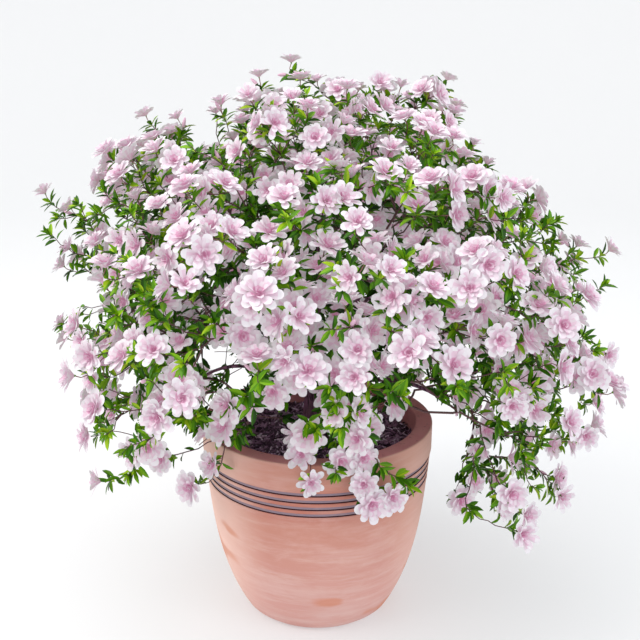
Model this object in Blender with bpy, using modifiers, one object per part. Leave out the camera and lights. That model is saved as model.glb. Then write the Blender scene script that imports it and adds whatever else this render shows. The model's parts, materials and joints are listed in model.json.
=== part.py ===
"""Azalea shrub in a terracotta pot, as closed solids in metres, +Z up.

The origin is the centre of the pot's flat underside. A short fluted trunk stands in the soil.
One tapering bough leaves its head for each mass of the crown and ends where it enters that
mass. A mass is one stem, the twigs that arch off it, and the leaves and blossoms at their tips.
"""

import math
import random

import bmesh
import bpy
from mathutils import Matrix, Vector

GAP = 0.0003

# Pot
POT_HEIGHT = 0.2843
RIM_RADIUS = 0.165
RIM_WIDTH = 0.024
RIM_ROUNDING = 0.005
COLLAR_HEIGHT = 0.041
COLLAR_STEP = 0.002
GROOVE_COUNT = 4
GROOVE_PITCH = 0.0103
GROOVE_DEPTH = 0.0016
GROOVE_SLOT = 0.35
BASE_RADIUS = 0.1027
BASE_ROUNDING = 0.008
BODY_BULGE = 0.0170
BULGE_DROP = 0.74
ROUNDING_RUN = 0.6
WALL = 0.018
MOUTH_TAPER = 0.002
FLOOR_THICKNESS = 0.020
POT_STEPS = 30
INNER_HEIGHTS = (0.08, 0.15, 0.22)
OUTER_HEIGHTS = (0.165, 0.120, 0.078, 0.038, BASE_ROUNDING)

# Soil and trunk
SOIL_LEVEL = 0.258
SOIL_SINK = 0.005
TRUNK_RADIUS = 0.021
TRUNK_FLARE = 0.010
FLARE_HEIGHT = 0.014
TRUNK_TAPER = 0.002
TRUNK_SEAT = 0.006
TRUNK_HEIGHT = 0.066
TRUNK_STAGES = (0.0, 0.008, 0.022, 0.042, TRUNK_HEIGHT)
TRUNK_LEAN = 0.006
TRUNK_FLUTES = 9
FLUTE_DEPTH = 0.09
HEAD_HEIGHT = 0.030
HEAD_TURNS = (25.0, 50.0, 74.0)

# Crown
HUB = Vector((0.004, 0.0, 0.400))
CROWN_REACH = 0.372
CROWN_LEAN = 0.010
CROWN_CLEARANCE = 0.0006
FRONT_BEARING = 275.0
FRONT_HALF_WIDTH = 58.0
FRONT_DRAWN_IN = 0.30
FRONT_RISES = (-16.0, 8.0)
LOWEST_RISE = -33.0
TIP_COUNT = 138
TIP_JITTER = 3.0
TIP_DEPTHS = (0.88, 1.0)
INNER_DEPTHS = (0.70, 0.84)
INNER_SHARE = 0.16
BLOOM_SHARE = 0.78
SEED = 11

# Twigs, leaves and blossoms
BOUGH_ROOT = 0.0046
BOUGH_TIP = 0.0032
BOUGH_SINK = 0.006
BOUGH_KNOTS = 5
PULL_OUT = 0.35
PULL_IN = 0.30
SKIRT_ARCH = 0.10
STEM_TIP = 0.0016
STEM_END = 0.80
STEM_KNOTS = 4
FIRST_TWIG = 0.15
LAST_TWIG = 0.97
TWIG_ROOT = 0.0016
TWIG_TIP = 0.0011
TWIG_BEND = 0.55
TWIG_ARCH = 0.10
DRAW_STEPS = (0.0, 0.12, 0.24, 0.36, 0.48, 0.60)
TWIG_SAMPLES = 16
EDGE_SAMPLES = 6
LEAF_LENGTH = 0.044
LEAF_WIDTH = 0.017
LEAF_THICKNESS = 0.0016
LEAF_ARCH = 0.003
LEAF_SINK = 0.0018
LEAF_TURN = 137.5
ROSETTE_LEAVES = 4
ROSETTE_SEAT = 0.003
ROSETTE_PITCH = 0.0055
ROSETTE_SPREAD = (26.0, 14.0)
COLLAR_SEAT = 0.014
COLLAR_PITCH = 0.007
COLLAR_SPREAD = (62.0, 10.0)
BLOSSOM_RADIUS = 0.034
BLOSSOM_DEPTH = 0.025
BLOSSOM_POINTS = 10
BLOSSOM_EYE = 0.45
NOTCH_RADIUS = 0.74
NOTCH_DROP = 0.12
BLOSSOM_SINK = 0.004
BLOSSOM_SPACING = 1.9
BLOSSOM_ROOM = 0.8
BLOSSOM_LIFT = 0.35
LIMB_CLEARANCE = 0.006
POT_CLEARANCE = 0.006

# Each tier of masses: name, count, first bearing, rise, its boughs' share of the reach,
# and the rise at which they leave the trunk's head
TIERS = (
    ("top", 1, 0.0, 88.0, 0.40, 90.0),
    ("upper", 5, 20.0, 53.0, 0.42, 61.0),
    ("middle", 7, 5.0, 17.0, 0.46, 36.0),
    ("skirt", 7, 25.0, -18.0, 0.50, 13.0),
)
# Swells and hollows of the outline: bearing, rise, angle over which they fade, share of the reach
SWELLS = (
    (171.0, 29.0, 40.0, 0.14),
    (6.0, 18.0, 30.0, 0.13),
    (352.0, -16.0, 36.0, 0.10),
    (322.0, -30.0, 26.0, 0.06),
    (14.0, 40.0, 24.0, -0.09),
    (26.0, 58.0, 20.0, 0.05),
    (130.0, 66.0, 26.0, -0.04),
    (178.0, 7.0, 20.0, -0.12),
    (190.0, -24.0, 34.0, -0.07),
    (206.0, -38.0, 26.0, -0.15),
    (76.0, 34.0, 40.0, 0.07),
    (110.0, -6.0, 34.0, 0.06),
    (236.0, 26.0, 34.0, 0.05),
    (300.0, 38.0, 34.0, 0.04),
)
# Shoots that stand out of the outline: bearing, rise, reach from the hub
LONG_SHOOTS = (
    (171.5, 26.0, 0.437),
    (160.0, 49.0, 0.395),
    (110.0, 72.0, 0.386),
    (31.0, 59.0, 0.405),
    (18.5, 47.0, 0.384),
    (5.0, 16.0, 0.424),
    (359.0, -2.5, 0.401),
    (356.0, -13.0, 0.394),
    (350.0, -30.0, 0.397),
    (320.0, -30.0, 0.380),
    (191.0, -32.0, 0.366),
    (187.0, -22.0, 0.352),
    (179.0, 4.0, 0.372),
)
# Openings in the front of the crown: bearing, rise, half-angle
WINDOWS = (
    (253.0, -13.0, 12.0),
    (293.0, -7.0, 9.0),
    (318.0, -24.0, 10.0),
)

TERRACOTTA = (0.72, 0.39, 0.28, 1.0)
POT_ROUGHNESS = 0.75
MULCH = (0.055, 0.032, 0.036, 1.0)
SOIL_ROUGHNESS = 0.95
BARK = (0.17, 0.10, 0.10, 1.0)
BARK_ROUGHNESS = 0.85
FOLIAGE = (0.62, 0.48, 0.50, 1.0)
FOLIAGE_ROUGHNESS = 0.6


def clear_scene():
    for old in list(bpy.data.objects):
        bpy.data.objects.remove(old)


def new_collection(name, helper=False):
    collection = bpy.data.collections.new(name)
    bpy.context.scene.collection.children.link(collection)
    collection.hide_render = helper
    return collection


def material(name, colour, roughness):
    finish = bpy.data.materials.new(name)
    finish.use_nodes = True
    shader = finish.node_tree.nodes["Principled BSDF"]
    shader.inputs["Base Color"].default_value = colour
    shader.inputs["Roughness"].default_value = roughness
    shader.inputs["Metallic"].default_value = 0.0
    return finish


def ray(bearing, rise):
    """Unit vector at a compass bearing from +X towards +Y, tilted up by rise, in degrees."""
    turn = math.radians(bearing)
    tilt = math.radians(rise)
    level = math.cos(tilt)
    return Vector((level * math.cos(turn), level * math.sin(turn), math.sin(tilt)))


def blend(low, high, value):
    """0 below low, 1 above high, and a smooth step between."""
    t = min(max((value - low) / (high - low), 0.0), 1.0)
    return t * t * (3 - 2 * t)


# ---------------------------------------------------------------- pot and soil


def turned(name, profile, collection):
    """A turned solid from (radius, height) points that run down its outer side."""
    mesh = bpy.data.meshes.new(name)
    mesh.from_pydata([(r, 0, z) for r, z in profile], [(i, i + 1) for i in range(len(profile) - 1)], [])
    solid = bpy.data.objects.new(name, mesh)
    collection.objects.link(solid)
    screw = solid.modifiers.new("turn", "SCREW")
    screw.steps = POT_STEPS
    screw.render_steps = POT_STEPS
    screw.use_merge_vertices = True
    screw.merge_threshold = 0.0001
    screw.use_smooth_shade = True
    return solid


def body_radius(z):
    """Outer radius of the pot below its collar: a cone that swells most in its lower half."""
    top = POT_HEIGHT - COLLAR_HEIGHT
    t = min(z / top, 1.0)
    bulge = BODY_BULGE * math.sin(math.pi * t**BULGE_DROP)
    return BASE_RADIUS + (RIM_RADIUS - COLLAR_STEP - BASE_RADIUS) * t + bulge


def inner_radius(z):
    """Radius of the pot's inside wall below the rim."""
    return body_radius(z) - WALL


def rim_mouth(z):
    """Radius of the pot's mouth, which narrows a little from the rim down to the soil."""
    return RIM_RADIUS - RIM_WIDTH - MOUTH_TAPER * (POT_HEIGHT - z) / (POT_HEIGHT - SOIL_LEVEL)


def groove_profile():
    """The ring of grooves under the collar, as a zigzag down the pot's side."""
    points = []
    for i in range(GROOVE_COUNT):
        z = POT_HEIGHT - COLLAR_HEIGHT - GROOVE_PITCH * i
        r = min(body_radius(z), RIM_RADIUS - COLLAR_STEP)
        points.append((r, z))
        points.append((r - GROOVE_DEPTH, z - GROOVE_PITCH * GROOVE_SLOT))
    z = POT_HEIGHT - COLLAR_HEIGHT - GROOVE_PITCH * GROOVE_COUNT
    return points + [(body_radius(z), z)]


def build_pot(collection):
    top = POT_HEIGHT
    shoulder = top - RIM_ROUNDING
    foot = BASE_RADIUS - BASE_ROUNDING * ROUNDING_RUN
    profile = [(0.0, FLOOR_THICKNESS), (inner_radius(FLOOR_THICKNESS), FLOOR_THICKNESS)]
    profile += [(inner_radius(z), z) for z in INNER_HEIGHTS]
    profile += [(rim_mouth(SOIL_LEVEL), SOIL_LEVEL), (rim_mouth(shoulder), shoulder)]
    profile += [(rim_mouth(top) + RIM_ROUNDING * ROUNDING_RUN, top), (RIM_RADIUS - RIM_ROUNDING, top)]
    profile += [(RIM_RADIUS, shoulder)]
    profile += groove_profile()
    profile += [(body_radius(z), z) for z in OUTER_HEIGHTS]
    profile += [(foot, 0.0), (0.0, 0.0)]
    pot = turned("pot", profile, collection)
    pot.data.materials.append(material("terracotta", TERRACOTTA, POT_ROUGHNESS))


def build_soil(collection):
    """The root ball's soil, flat under the trunk and a little lower at the wall."""
    floor = FLOOR_THICKNESS + GAP
    edge = SOIL_LEVEL - SOIL_SINK
    profile = [(0.0, SOIL_LEVEL), (TRUNK_RADIUS + TRUNK_FLARE + TRUNK_SEAT, SOIL_LEVEL)]
    profile += [(rim_mouth(SOIL_LEVEL) - 2 * GAP, edge)]
    profile += [(inner_radius(z) - 2 * GAP, z) for z in reversed(INNER_HEIGHTS)]
    profile += [(inner_radius(floor) - 2 * GAP, floor), (0.0, floor)]
    soil = turned("soil", profile, collection)
    soil.data.materials.append(material("mulch", MULCH, SOIL_ROUGHNESS))


# ---------------------------------------------------------------- trunk and boughs


def trunk_centre(height):
    """Middle of the trunk at a height above the soil: it leans towards +X."""
    return Vector((TRUNK_LEAN * height / TRUNK_HEIGHT, 0.0, SOIL_LEVEL + GAP + height))


def head_centre():
    return trunk_centre(TRUNK_HEIGHT)


def trunk_radius(height):
    """The trunk tapers up from a flared foot."""
    flare = TRUNK_FLARE * math.exp(-height / FLARE_HEIGHT)
    return TRUNK_RADIUS + flare - TRUNK_TAPER * height / TRUNK_HEIGHT


def trunk_rings(grown):
    """Centre and radius of each ring up the trunk and over its rounded head, grown all round."""
    rings = [(trunk_centre(h), trunk_radius(h) + grown) for h in TRUNK_STAGES]
    for turn in HEAD_TURNS:
        tilt = math.radians(turn)
        lift = Vector((0, 0, (HEAD_HEIGHT + grown) * math.sin(tilt)))
        rings.append((head_centre() + lift, (trunk_radius(TRUNK_HEIGHT) + grown) * math.cos(tilt)))
    return rings


def trunk_mesh(name, grown, collection):
    """A fluted stump: a capped ring whose cap is extruded upwards stage by stage."""
    sides = TRUNK_FLUTES * 2
    bm = bmesh.new()
    bmesh.ops.create_circle(bm, segments=sides, radius=1.0, cap_ends=True)
    bm.faces.ensure_lookup_table()
    cap = bm.faces[0]
    for stage, (centre, radius) in enumerate(trunk_rings(grown)):
        if stage:
            lifted = bmesh.ops.extrude_discrete_faces(bm, faces=[cap])
            cap = lifted["faces"][0]
        for i, vertex in enumerate(cap.verts):
            turn = math.tau * i / sides
            flute = 1 - FLUTE_DEPTH * (i % 2)
            vertex.co = centre + Vector((math.cos(turn), math.sin(turn), 0)) * radius * flute
    foot = [edge for edge in bm.edges if len(edge.link_faces) == 1]
    bmesh.ops.edgeloop_fill(bm, edges=foot)
    bmesh.ops.recalc_face_normals(bm, faces=bm.faces)
    return to_object(bm, name, collection)


def build_trunk(collection):
    trunk = trunk_mesh("trunk", 0.0, collection)
    trunk.data.materials.append(material("bark", BARK, BARK_ROUGHNESS))


def to_object(bm, name, collection):
    mesh = bpy.data.meshes.new(name)
    bm.to_mesh(mesh)
    bm.free()
    solid = bpy.data.objects.new(name, mesh)
    collection.objects.link(solid)
    return solid


def limb(name, points, radii, section, collection):
    """A tapering tube with flat ends through the points, as a closed mesh."""
    curve = bpy.data.curves.new(name, "CURVE")
    curve.dimensions = "3D"
    curve.bevel_mode = "OBJECT"
    curve.bevel_object = section
    curve.use_fill_caps = True
    spline = curve.splines.new("POLY")
    spline.points.add(len(points) - 1)
    for knot, place, radius in zip(spline.points, points, radii):
        knot.co = (*place, 1.0)
        knot.radius = radius
    guide = bpy.data.objects.new(name, curve)
    bpy.context.scene.collection.objects.link(guide)
    bpy.context.view_layer.update()
    graph = bpy.context.evaluated_depsgraph_get()
    mesh = bpy.data.meshes.new_from_object(guide.evaluated_get(graph))
    bpy.data.objects.remove(guide)
    bpy.data.curves.remove(curve)
    bm = bmesh.new()
    bm.from_mesh(mesh)
    bmesh.ops.remove_doubles(bm, verts=bm.verts, dist=0.00001)
    bmesh.ops.recalc_face_normals(bm, faces=bm.faces)
    bpy.data.meshes.remove(mesh)
    return to_object(bm, name, collection)


def polygon_section(sides, helpers):
    """The regular polygon, one metre in radius, that a limb's curve carries along it."""
    curve = bpy.data.curves.new(f"section_{sides}", "CURVE")
    curve.dimensions = "2D"
    spline = curve.splines.new("POLY")
    spline.points.add(sides - 1)
    for i, knot in enumerate(spline.points):
        turn = math.tau * i / sides
        knot.co = (math.cos(turn), math.sin(turn), 0.0, 1.0)
    spline.use_cyclic_u = True
    section = bpy.data.objects.new(curve.name, curve)
    section.display_type = "WIRE"
    section.hide_render = True
    helpers.objects.link(section)
    return section


def arc_points(start, pull_a, pull_b, end, count):
    """Points along a cubic Bezier curve."""
    points = []
    for i in range(count):
        t = i / (count - 1)
        s = 1 - t
        points.append(start * s**3 + pull_a * 3 * s * s * t + pull_b * 3 * s * t * t + end * t**3)
    return points


def tapered(root, tip, count):
    return [root + (tip - root) * i / (count - 1) for i in range(count)]


# ---------------------------------------------------------------- crown plan


def swell(way):
    """The outline's swells and hollows along a unit ray, as a share of the reach."""
    total = 0.0
    for bearing, rise, fade, share in SWELLS:
        total += share * (1 - blend(0.0, math.radians(fade), way.angle(ray(bearing, rise))))
    return total


def drawn_in(way):
    """How far the crown is drawn in over the front of the pot, as a share of the reach."""
    bearing = math.degrees(math.atan2(way.y, way.x))
    rise = math.degrees(math.asin(max(-1.0, min(1.0, way.z))))
    off_front = abs((bearing - FRONT_BEARING + 180) % 360 - 180)
    front = 1 - blend(FRONT_HALF_WIDTH / 2, FRONT_HALF_WIDTH, off_front)
    return FRONT_DRAWN_IN * front * (1 - blend(*FRONT_RISES, rise))


def reach(way):
    """Distance from the hub to the crown's outline along a unit ray."""
    return (CROWN_REACH + CROWN_LEAN * way.x) * (1 + swell(way)) * (1 - drawn_in(way))


def plan_masses():
    """The crown's masses, each a dict with its name, its ray from the hub and its limb's ends."""
    masses = []
    for tier, count, first, rise, share, lift in TIERS:
        for i in range(count):
            way = ray(first + 360.0 * i / count, rise)
            name = tier if count == 1 else f"{tier}_{i + 1}"
            join = HUB + way * reach(way) * share
            masses.append({"name": name, "tier": tier, "lift": lift, "way": way, "join": join})
    return masses


def plan_tips(masses):
    """Share golden-angle tips on the crown's outline among the masses by nearest ray."""
    chance = random.Random(SEED)
    low = math.sin(math.radians(LOWEST_RISE))
    tips = []
    for i in range(TIP_COUNT):
        height = low + (1 - low) * (i + 0.5) / TIP_COUNT
        rise = math.degrees(math.asin(height)) + chance.uniform(-TIP_JITTER, TIP_JITTER)
        bearing = math.degrees(i * math.pi * (3 - math.sqrt(5))) + chance.uniform(-TIP_JITTER, TIP_JITTER)
        way = ray(bearing, rise)
        depth = chance.uniform(*TIP_DEPTHS)
        if chance.random() < INNER_SHARE:
            depth = chance.uniform(*INNER_DEPTHS)
        blooms = chance.random() < BLOOM_SHARE
        if not any(way.angle(ray(b, r)) < math.radians(half) for b, r, half in WINDOWS):
            tips.append((way, reach(way) * depth - BLOSSOM_DEPTH, blooms))
    for bearing, rise, length in LONG_SHOOTS:
        tips.append((ray(bearing, rise), length - BLOSSOM_DEPTH, True))
    for mass in masses:
        mass["tips"] = []
    for tip in tips:
        nearest = max(masses, key=lambda mass: mass["way"].dot(tip[0]))
        nearest["tips"].append(tip)


def bough_points(mass):
    """The bough starts inside the trunk's head and sweeps up or over to its mass."""
    way = mass["way"]
    level = Vector((way.x, way.y, 0.0)).normalized()
    tilt = math.radians(mass["lift"])
    out = level * math.cos(tilt) + Vector((0, 0, math.sin(tilt)))
    across = trunk_radius(TRUNK_HEIGHT)
    skin = Vector((out.x * across, out.y * across, out.z * HEAD_HEIGHT))
    root = head_centre() + skin - out * BOUGH_SINK
    span = (mass["join"] - root).length
    over = Vector((0, 0, SKIRT_ARCH * span)) if mass["tier"] == "skirt" else Vector()
    pull_a = root + out * span * PULL_OUT + over
    pull_b = mass["join"] - way * span * PULL_IN + over
    return arc_points(root, pull_a, pull_b, mass["join"], BOUGH_KNOTS)


def stem_points(mass):
    """The mass's stem goes on from the bough's tip and ends inside the mass."""
    way = mass["way"]
    last = (mass["bough"][-1] - mass["bough"][-2]).normalized()
    start = mass["join"] + last * GAP * 1.5
    end = HUB + way * reach(way) * STEM_END
    span = (end - start).length
    return arc_points(start, start + last * span * PULL_OUT, end - way * span * PULL_IN, end, STEM_KNOTS)


# ---------------------------------------------------------------- leaves and blossoms


def leaf_mesh():
    """A leaf as a long eight-faced lens: its root at the origin, its tip along +Z."""
    bm = bmesh.new()
    bmesh.ops.create_uvsphere(bm, u_segments=4, v_segments=2, radius=1.0)
    for vertex in bm.verts:
        x, y, z = vertex.co
        arch = LEAF_ARCH * (1 - z * z)
        vertex.co = (x * LEAF_WIDTH / 2, y * LEAF_THICKNESS / 2 + arch, (z + 1) * LEAF_LENGTH / 2)
    mesh = bpy.data.meshes.new("leaf")
    bm.to_mesh(mesh)
    bm.free()
    return mesh


def blossom_mesh():
    """A blossom as a scalloped cup: its base at the origin, its mouth towards +Z."""
    bm = bmesh.new()
    bmesh.ops.create_cone(
        bm,
        cap_ends=True,
        cap_tris=True,
        segments=BLOSSOM_POINTS,
        radius1=BLOSSOM_RADIUS,
        radius2=0.0,
        depth=BLOSSOM_DEPTH,
        matrix=Matrix.Translation((0, 0, BLOSSOM_DEPTH / 2)) @ Matrix.Rotation(math.pi, 4, "X"),
    )
    bmesh.ops.remove_doubles(bm, verts=bm.verts, dist=0.00001)
    for vertex in bm.verts:
        on_edge = math.hypot(vertex.co.x, vertex.co.y) > BLOSSOM_RADIUS / 2
        turn = round(math.atan2(vertex.co.y, vertex.co.x) / math.tau * BLOSSOM_POINTS)
        if on_edge and turn % 2:
            vertex.co *= Vector((NOTCH_RADIUS, NOTCH_RADIUS, 1 - NOTCH_DROP))
        elif not on_edge and vertex.co.z > BLOSSOM_DEPTH / 2:
            vertex.co.z -= BLOSSOM_DEPTH * BLOSSOM_EYE
    bmesh.ops.recalc_face_normals(bm, faces=bm.faces)
    mesh = bpy.data.meshes.new("blossom")
    bm.to_mesh(mesh)
    bm.free()
    return mesh


def aimed(place, heading, spin):
    """A matrix that stands a shape at place with its +Z along heading, turned about it."""
    turn = heading.to_track_quat("Z", "Y").to_matrix().to_4x4()
    return Matrix.Translation(place) @ turn @ Matrix.Rotation(spin, 4, "Z")


# ---------------------------------------------------------------- masses


def edge_samples(mesh, matrix):
    """Points along every edge of a mesh in world space."""
    spots = []
    for edge in mesh.edges:
        a = matrix @ mesh.vertices[edge.vertices[0]].co
        b = matrix @ mesh.vertices[edge.vertices[1]].co
        spots += [a.lerp(b, i / EDGE_SAMPLES) for i in range(EDGE_SAMPLES + 1)]
    return spots


def inside_cell(spots, mass, masses):
    """True where every spot lies nearer this mass's ray than any other's."""
    for other in masses:
        if other is mass:
            continue
        wall = (mass["way"] - other["way"]).normalized()
        if min((spot - HUB).dot(wall) for spot in spots) < CROWN_CLEARANCE:
            return False
    return True


def clear_of_pot(spots):
    for spot in spots:
        across = math.hypot(spot.x, spot.y)
        if spot.z < POT_HEIGHT + POT_CLEARANCE and across < RIM_RADIUS + POT_CLEARANCE:
            return False
    return True


def segment_distance(spot, a, b):
    along = b - a
    t = min(max((spot - a).dot(along) / along.length_squared, 0.0), 1.0)
    return (spot - a - along * t).length


def clear_of_boughs(spots, masses):
    for mass in masses:
        path = mass["bough"]
        for a, b in zip(path, path[1:]):
            if min(segment_distance(spot, a, b) for spot in spots) < BOUGH_ROOT + LIMB_CLEARANCE:
                return False
    return True


def along(points, share):
    """The point a share of the way along a path of roughly equal steps."""
    place = share * (len(points) - 1)
    step = min(int(place), len(points) - 2)
    return points[step].lerp(points[step + 1], place - step)


def twig_points(root, tip):
    """A twig arches out from its root on the stem to its tip."""
    outward = (tip - HUB).normalized()
    return [root, root.lerp(tip, TWIG_BEND) + outward * (tip - root).length * TWIG_ARCH, tip]


def put(name, mesh, matrix, pieces):
    piece = bpy.data.objects.new(name, mesh)
    pieces.objects.link(piece)
    piece.matrix_world = matrix
    return piece


def clear_of_blossoms(spots, blossoms):
    """True where no spot lies within a blossom that already stands in the mass."""
    room = BLOSSOM_RADIUS * BLOSSOM_ROOM
    return all((spot - centre).length > room for centre in blossoms for spot in spots)


def put_if_it_fits(name, mesh, matrix, pieces, mass, masses):
    spots = edge_samples(mesh, matrix)
    if not (inside_cell(spots, mass, masses) and clear_of_pot(spots) and clear_of_boughs(spots, masses)):
        return
    if name == "blossom":
        mass["blossoms"].append(matrix @ Vector((0, 0, BLOSSOM_DEPTH)))
    elif not clear_of_blossoms(spots, mass["blossoms"]):
        return
    put(name, mesh, matrix, pieces)


def grow_twig(mass, masses, way, length, root, shapes, pieces):
    """The twig to one tip, drawn in towards the mass's middle until its blossom has room."""
    for draw in DRAW_STEPS:
        heading = way.lerp(mass["way"], draw).normalized()
        points = twig_points(root, HUB + heading * length)
        room = edge_samples(shapes["blossom"], aimed(points[-1], heading, 0.0))
        if not (inside_cell(room, mass, masses) and clear_of_pot(room)):
            continue
        spacing = BLOSSOM_RADIUS * BLOSSOM_SPACING
        if any((points[-1] - other).length < spacing for other in mass["blossoms"]):
            continue
        path = [along(points, i / TWIG_SAMPLES) for i in range(TWIG_SAMPLES + 1)]
        outer = path[TWIG_SAMPLES // 4 :]
        if inside_cell(path, mass, masses) and clear_of_pot(path) and clear_of_boughs(outer, masses):
            limb("twig", points, tapered(TWIG_ROOT, TWIG_TIP, 3), shapes["twig_section"], pieces)
            return points, heading
    return None


def leaf_seat(number, blooms):
    """How far behind a twig's tip a leaf stands, and the angle by which it spreads from the twig."""
    seat, pitch, spread = ROSETTE_SEAT, ROSETTE_PITCH, ROSETTE_SPREAD
    if blooms:
        seat, pitch, spread = COLLAR_SEAT, COLLAR_PITCH, COLLAR_SPREAD
    return seat + pitch * number, math.radians(spread[0] + spread[1] * number)


def grow_sprig(points, heading, blooms, chance):
    """Where the blossom and the leaves at a twig's tip stand, as (shape name, matrix) pairs."""
    end = points[-1]
    twig_way = (end - points[-2]).normalized()
    sprig = []
    if blooms:
        face = (heading + Vector((0, 0, BLOSSOM_LIFT)) + twig_way * BLOSSOM_LIFT).normalized()
        sprig.append(("blossom", aimed(end - twig_way * BLOSSOM_SINK, face, chance.uniform(0, math.tau))))
    first = chance.uniform(0, math.tau)
    for i in range(chance.choice((1, 2)) if blooms else ROSETTE_LEAVES):
        back, spread = leaf_seat(i, blooms)
        around = aimed(end, twig_way, first + math.radians(LEAF_TURN) * i).to_3x3()
        leaf_way = around @ Vector((math.sin(spread), 0, math.cos(spread)))
        root = end - twig_way * back - leaf_way * LEAF_SINK
        sprig.append(("leaf", aimed(root, leaf_way, chance.uniform(-0.5, 0.5))))
    return sprig


def grow_mass(mass, masses, shapes, foliage, parts):
    chance = random.Random(mass["name"])
    mass["blossoms"] = []
    name = f"{mass['name']}_mass"
    pieces = new_collection(f"{name}_pieces", helper=True)
    stem = limb(name, mass["stem"], tapered(BOUGH_TIP, STEM_TIP, STEM_KNOTS), shapes["stem_section"], parts)
    stem.data.materials.append(foliage)
    axis = mass["way"]
    tips = sorted(mass["tips"], key=lambda tip: tip[1] * (tip[0].dot(axis) - tip[0].cross(axis).length))
    for rank, (way, length, blooms) in enumerate(tips):
        root = along(mass["stem"], FIRST_TWIG + (LAST_TWIG - FIRST_TWIG) * (rank + 0.5) / len(tips))
        grown = grow_twig(mass, masses, way, length, root, shapes, pieces)
        if grown is None:
            continue
        for shape, matrix in grow_sprig(*grown, blooms, chance):
            put_if_it_fits(shape, shapes[shape], matrix, pieces, mass, masses)
    join_pieces(stem, pieces)


def join_pieces(stem, pieces):
    """Fuse a mass's pieces to its stem in one union and drop the loose objects."""
    union = stem.modifiers.new("fuse", "BOOLEAN")
    union.operation = "UNION"
    union.operand_type = "COLLECTION"
    union.collection = pieces
    union.solver = "MANIFOLD"
    bpy.context.view_layer.update()
    graph = bpy.context.evaluated_depsgraph_get()
    fused = bpy.data.meshes.new_from_object(stem.evaluated_get(graph))
    stem.modifiers.clear()
    keep_main_body(fused)
    stem.data = fused
    for piece in list(pieces.objects):
        bpy.data.objects.remove(piece)
    bpy.data.collections.remove(pieces)


def keep_main_body(mesh):
    """Drop every shell but the largest: loose scraps, and hollows that fusing sealed."""
    bm = bmesh.new()
    bm.from_mesh(mesh)
    shells = []
    waiting = set(bm.verts)
    while waiting:
        shell = {waiting.pop()}
        edge = list(shell)
        while edge:
            vertex = edge.pop()
            for link in vertex.link_edges:
                other = link.other_vert(vertex)
                if other in waiting:
                    waiting.discard(other)
                    shell.add(other)
                    edge.append(other)
        shells.append(shell)
    shells.sort(key=len)
    for shell in shells[:-1]:
        bmesh.ops.delete(bm, geom=list(shell), context="VERTS")
    bm.to_mesh(mesh)
    bm.free()


def seat_on_trunk(bough, seat):
    """Cut the bough's root back to the trunk's head, which it then meets all round."""
    cut = bough.modifiers.new("seat", "BOOLEAN")
    cut.operation = "DIFFERENCE"
    cut.object = seat


def build_crown(collection):
    helpers = new_collection("helpers", helper=True)
    seat = trunk_mesh("trunk_seat", GAP, helpers)
    seat.display_type = "WIRE"
    seat.hide_render = True
    bough_section = polygon_section(6, helpers)
    bark = bpy.data.materials["bark"]
    foliage = material("blossom_and_leaf", FOLIAGE, FOLIAGE_ROUGHNESS)
    shapes = {"leaf": leaf_mesh(), "blossom": blossom_mesh()}
    shapes["stem_section"] = polygon_section(4, helpers)
    shapes["twig_section"] = polygon_section(3, helpers)
    masses = plan_masses()
    plan_tips(masses)
    for mass in masses:
        mass["bough"] = bough_points(mass)
        mass["stem"] = stem_points(mass)
        radii = tapered(BOUGH_ROOT, BOUGH_TIP, len(mass["bough"]))
        bough = limb(f"{mass['name']}_bough", mass["bough"], radii, bough_section, collection)
        bough.data.materials.append(bark)
        seat_on_trunk(bough, seat)
    for mass in masses:
        grow_mass(mass, masses, shapes, foliage, collection)


clear_scene()
azalea = new_collection("azalea_shrub")
build_pot(azalea)
build_soil(azalea)
build_trunk(azalea)
build_crown(azalea)
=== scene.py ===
"""Azalea shrub in a terracotta pot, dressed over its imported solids, in metres, +Z up.

Each mass of the crown is grown again by the rule of its solid, from the same limbs and within the
same reach, and carried to finer twigs with leaves, double blossoms and buds. Small shapes are made
once with bmesh and joined by the thousand; the pot, the soil and the trunk are modelled one by one.
"""

import json
import math
import random
from collections import namedtuple

import bmesh
import bpy
import numpy as np
from mathutils import Matrix, Vector, noise

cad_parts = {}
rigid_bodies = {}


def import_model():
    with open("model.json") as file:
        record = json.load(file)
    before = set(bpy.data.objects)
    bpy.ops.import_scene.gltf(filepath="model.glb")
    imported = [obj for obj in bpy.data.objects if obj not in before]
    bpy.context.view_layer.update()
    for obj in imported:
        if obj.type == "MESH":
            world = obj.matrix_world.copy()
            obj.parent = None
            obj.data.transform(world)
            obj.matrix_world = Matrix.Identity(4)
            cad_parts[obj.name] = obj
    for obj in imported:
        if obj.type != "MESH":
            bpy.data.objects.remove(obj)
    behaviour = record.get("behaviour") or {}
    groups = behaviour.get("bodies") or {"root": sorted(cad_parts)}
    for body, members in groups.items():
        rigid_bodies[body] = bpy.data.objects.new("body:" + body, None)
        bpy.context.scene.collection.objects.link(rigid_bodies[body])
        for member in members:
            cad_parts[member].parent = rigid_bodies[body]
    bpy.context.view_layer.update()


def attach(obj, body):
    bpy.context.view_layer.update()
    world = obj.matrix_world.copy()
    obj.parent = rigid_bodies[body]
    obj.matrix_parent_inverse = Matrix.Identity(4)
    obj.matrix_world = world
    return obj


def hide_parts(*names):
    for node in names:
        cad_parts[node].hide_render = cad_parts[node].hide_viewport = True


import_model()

# Sizes shared with the solids
POT_HEIGHT = 0.2843
RIM_RADIUS = 0.165
RIM_WIDTH = 0.024
COLLAR_HEIGHT = 0.041
COLLAR_STEP = 0.002
GROOVE_COUNT = 4
GROOVE_PITCH = 0.0103
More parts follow.
